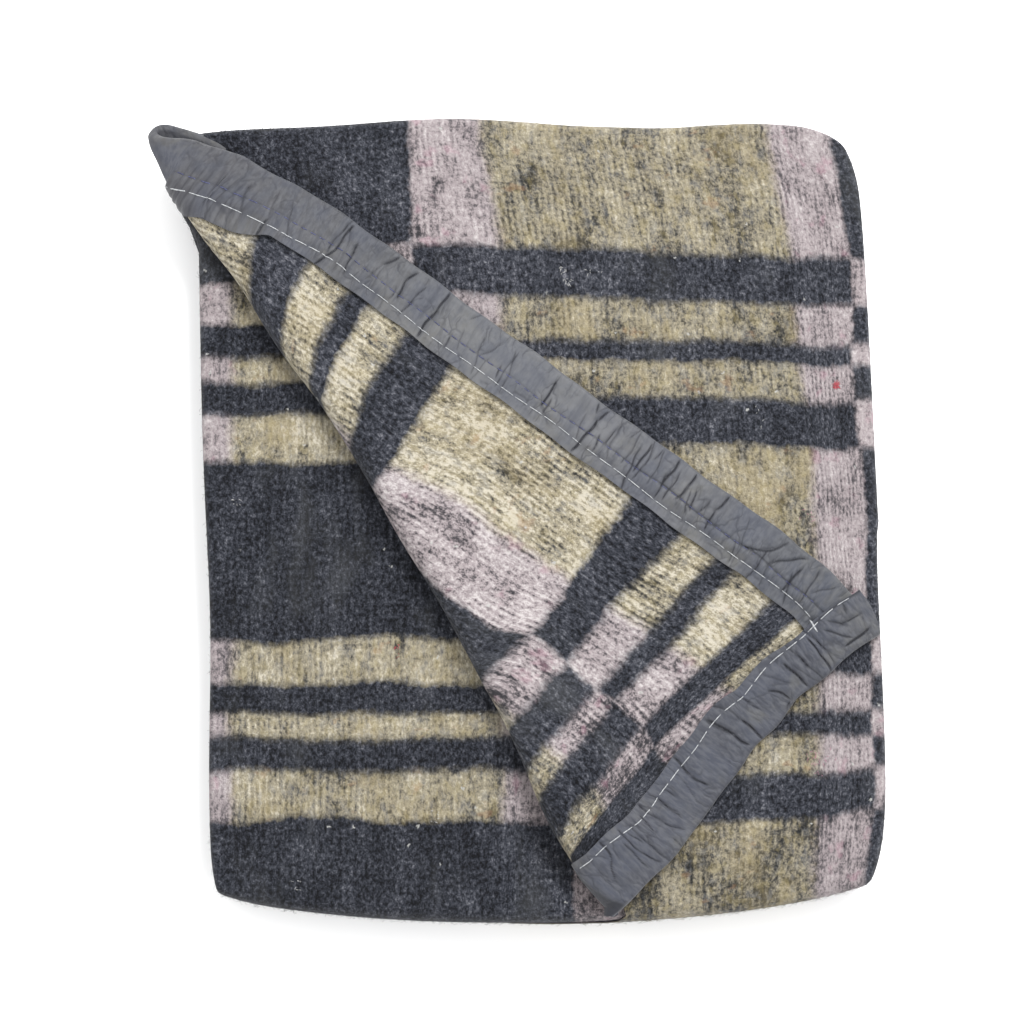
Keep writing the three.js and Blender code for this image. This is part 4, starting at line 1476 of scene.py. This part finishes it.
def lint(name, finish, length, thick, gather, spots):
    """Tufts of stray fibres caught on the upper faces: plan place, reach and count of each. gather is
    the part of a face that a tuft covers."""
    chosen = []
    for x, y, reach, count in spots:
        off = np.hypot(centre[:, 0] / MM - x - CENTRE_X, centre[:, 1] / MM - y - CENTRE_Y)
        near = (off < max(LEAST_REACH, reach)) & (steep > LOOKING_UP)
        near &= centre[:, 2] > centre[near, 2].max() - UPPERMOST
        share = near * np.exp(-((off / reach) ** 2))
        chosen.append(dice.choice(seen, count, p=share / share.sum()))
    faces = np.concatenate(chosen)
    made = fibres(name, cloth_skin.surface, faces, length, thick, (0.05, 0.3), gather, dice)
    return wear(made, finish, "cloth")


red_finish = thread_material("red lint", colour(188, 62, 76), colour(222, 104, 114))
red_lint = lint("red_lint", red_finish, length=1.8, thick=0.2, gather=0.45, spots=[
    (168, 75, 1.5, 90), (-80, -71, 2, 8), (-23, -27, 2, 6),
])
pink_finish = thread_material("pink lint", colour(206, 112, 152), colour(232, 160, 188))
pink_lint = lint("pink_lint", pink_finish, length=2.4, thick=0.12, gather=1, spots=[
    (156, -133, 9, 22), (40, -69, 7, 14), (150, 5, 6, 6), (64, -110, 5, 5),
])
white_finish = thread_material("white lint", colour(214, 214, 212), colour(246, 246, 244))
white_lint = lint("white_lint", white_finish, length=1.7, thick=0.16, gather=0.6, spots=[
    (14, 139, 5, 26), (-62, -166, 4, 7), (-140, -201, 4, 7), (-71, 74, 4, 6), (-166, 12, 4, 6),
    (30, 143, 4, 6), (120, 60, 4, 5), (-100, 30, 4, 5), (62, -190, 5, 5), (-60, 120, 4, 5),
])

tape_finish = tape_material()


def side_start(depth):
    """The side tape begins at the fold's tip."""
    return 0 * depth


def side_stop(depth):
    """The side tape is cut square under the end tape."""
    return 0 * depth + side_edge.length - SIDE_SPARE


# creases holds the painted shade of each point of the tape.
skin, creases = side_binding.skin(side_start, side_stop, steps=680, at_tip=True)
side_tape = wear(skin.make("side_tape"), tape_finish, "tape", "tape_side")
painted_shade_attribute(side_tape, creases)


def end_start(depth):
    """The end tape's cut end slants out towards the corner and bulges."""
    inward = np.clip(depth / END_TAPE_WIDTH, 0, 1)
    return 9.0 - 5.5 * inward - 2.2 * np.sin(np.pi * inward)


def end_stop(depth):
    """The end tape's other end goes on round the fold."""
    inward = np.clip(depth / END_TAPE_WIDTH, 0, 1)
    past = np.interp(inward, [0, 0.25, 0.5, 0.75, 1], [9, 17, 20, 20, 16])
    return end_edge.length - END_SPARE + past


skin, creases = end_binding.skin(end_start, end_stop, steps=320, at_tip=False)
end_tape = wear(skin.make("end_tape"), tape_finish, "tape", "tape_end")
painted_shade_attribute(end_tape, creases)

white_thread = thread_material("white thread", colour(176, 179, 184), colour(226, 228, 230))
lilac_thread = thread_material("lilac thread", colour(58, 62, 104), colour(92, 98, 146))

# Each row's stitches: their places along the edge, and their ends.
side_places = np.arange(-2, side_edge.length - 20, 9.6)
side_row = side_binding.stitches(*along_line(side_line, side_places, length=9.1), radius=0.27, lift=0.25)
side_stitches = wear(side_row.make("side_stitches"), white_thread, "tape")
lilac_places = np.arange(4, side_edge.length - 26, 6.2)
lilac_row = side_binding.stitches(*along_line(lilac_line, lilac_places, length=4.4), radius=0.26, lift=0.2)
lilac_stitches = wear(lilac_row.make("lilac_stitches"), lilac_thread, "tape")
# The end tape's row of stitches, with a short back-stitch across it at the corner.
end_places = np.arange(17, end_edge.length - END_SPARE + 2, 9.3)
row_start, row_stop = along_line(end_line, end_places, length=8.6)
tack_start = end_edge.near(np.array([(149.6, -55.0), (150.2, -55.4)]))
tack_stop = end_edge.near(np.array([(153.6, -61.8), (154.2, -62.2)]))
end_row = end_binding.stitches(
    np.concatenate([row_start, tack_start]), np.concatenate([row_stop, tack_stop]), radius=0.28, lift=0.3
)
end_stitches = wear(end_row.make("end_stitches"), white_thread, "tape")


# Half the floor's width, and how far it lies below the packet, in metres.
FLOOR_REACH = 4.0
FLOOR_BELOW = 0.0004


def pale_floor():
    """A wide flat floor with a faint unevenness in its tone."""
    corners = [
        (x * FLOOR_REACH, y * FLOOR_REACH, -FLOOR_BELOW) for x, y in ((-1, -1), (1, -1), (1, 1), (-1, 1))
    ]
    mesh = bpy.data.meshes.new("floor")
    mesh.from_pydata(corners, [], [(0, 1, 2, 3)])
    floor = bpy.data.objects.new("floor", mesh)
    bpy.context.scene.collection.objects.link(floor)
    g = Graph("pale floor")
    tone = g.noise(g.value("ShaderNodeTexCoord", output="Object"), 3.0, 2.0, 0.5)
    shade = g.mix(tone, (0.93, 0.93, 0.93, 1), (0.96, 0.96, 0.96, 1))
    mesh.materials.append(g.finish(shade, {"Roughness": 0.9}))


pale_floor()


def soft_light(name, place, size, power, aim=(0, 0, 0.03)):
    """A round lamp that faces the packet."""
    data = bpy.data.lights.new(name, "AREA")
    data.shape = "DISK"
    data.size = size
    data.energy = power
    lamp = bpy.data.objects.new(name, data)
    lamp.location = place
    lamp.rotation_mode = "QUATERNION"
    lamp.rotation_quaternion = (Vector(aim) - Vector(place)).to_track_quat("-Z", "Y")
    bpy.context.scene.collection.objects.link(lamp)


soft_light("key", place=(1.1, 1.7, 3.0), size=1.5, power=180)

world = bpy.data.worlds.new("studio")
bpy.context.scene.world = world
world.use_nodes = True
sky = world.node_tree.nodes["Background"]
sky.inputs["Color"].default_value = (1.0, 1.0, 1.0, 1)
sky.inputs["Strength"].default_value = 1.56
bpy.context.scene.view_settings.view_transform = "Standard"

# Camera nearly straight above, tipped a little to the front; the picture's width there, in metres,
# and its centre in the packet's own place.
ELEVATION = math.radians(85.5)
DISTANCE = 2.2
SENSOR = 36.0
FRAME_WIDTH = 0.573
PICTURE_CENTRE = (-16.2, 5.6, 52.0)
TARGET = (Vector(PICTURE_CENTRE) + Vector((CENTRE_X, CENTRE_Y, 0))) * MM
camera_data = bpy.data.cameras.new("camera")
camera_data.sensor_width = SENSOR
camera_data.lens = SENSOR * DISTANCE / FRAME_WIDTH
camera_data.dof.use_dof = False
camera = bpy.data.objects.new("camera", camera_data)
back = Vector((0, -math.cos(ELEVATION), math.sin(ELEVATION)))
camera.location = TARGET + back * DISTANCE
camera.rotation_mode = "QUATERNION"
camera.rotation_quaternion = (-back).to_track_quat("-Z", "Y")
bpy.context.scene.collection.objects.link(camera)
bpy.context.scene.camera = camera
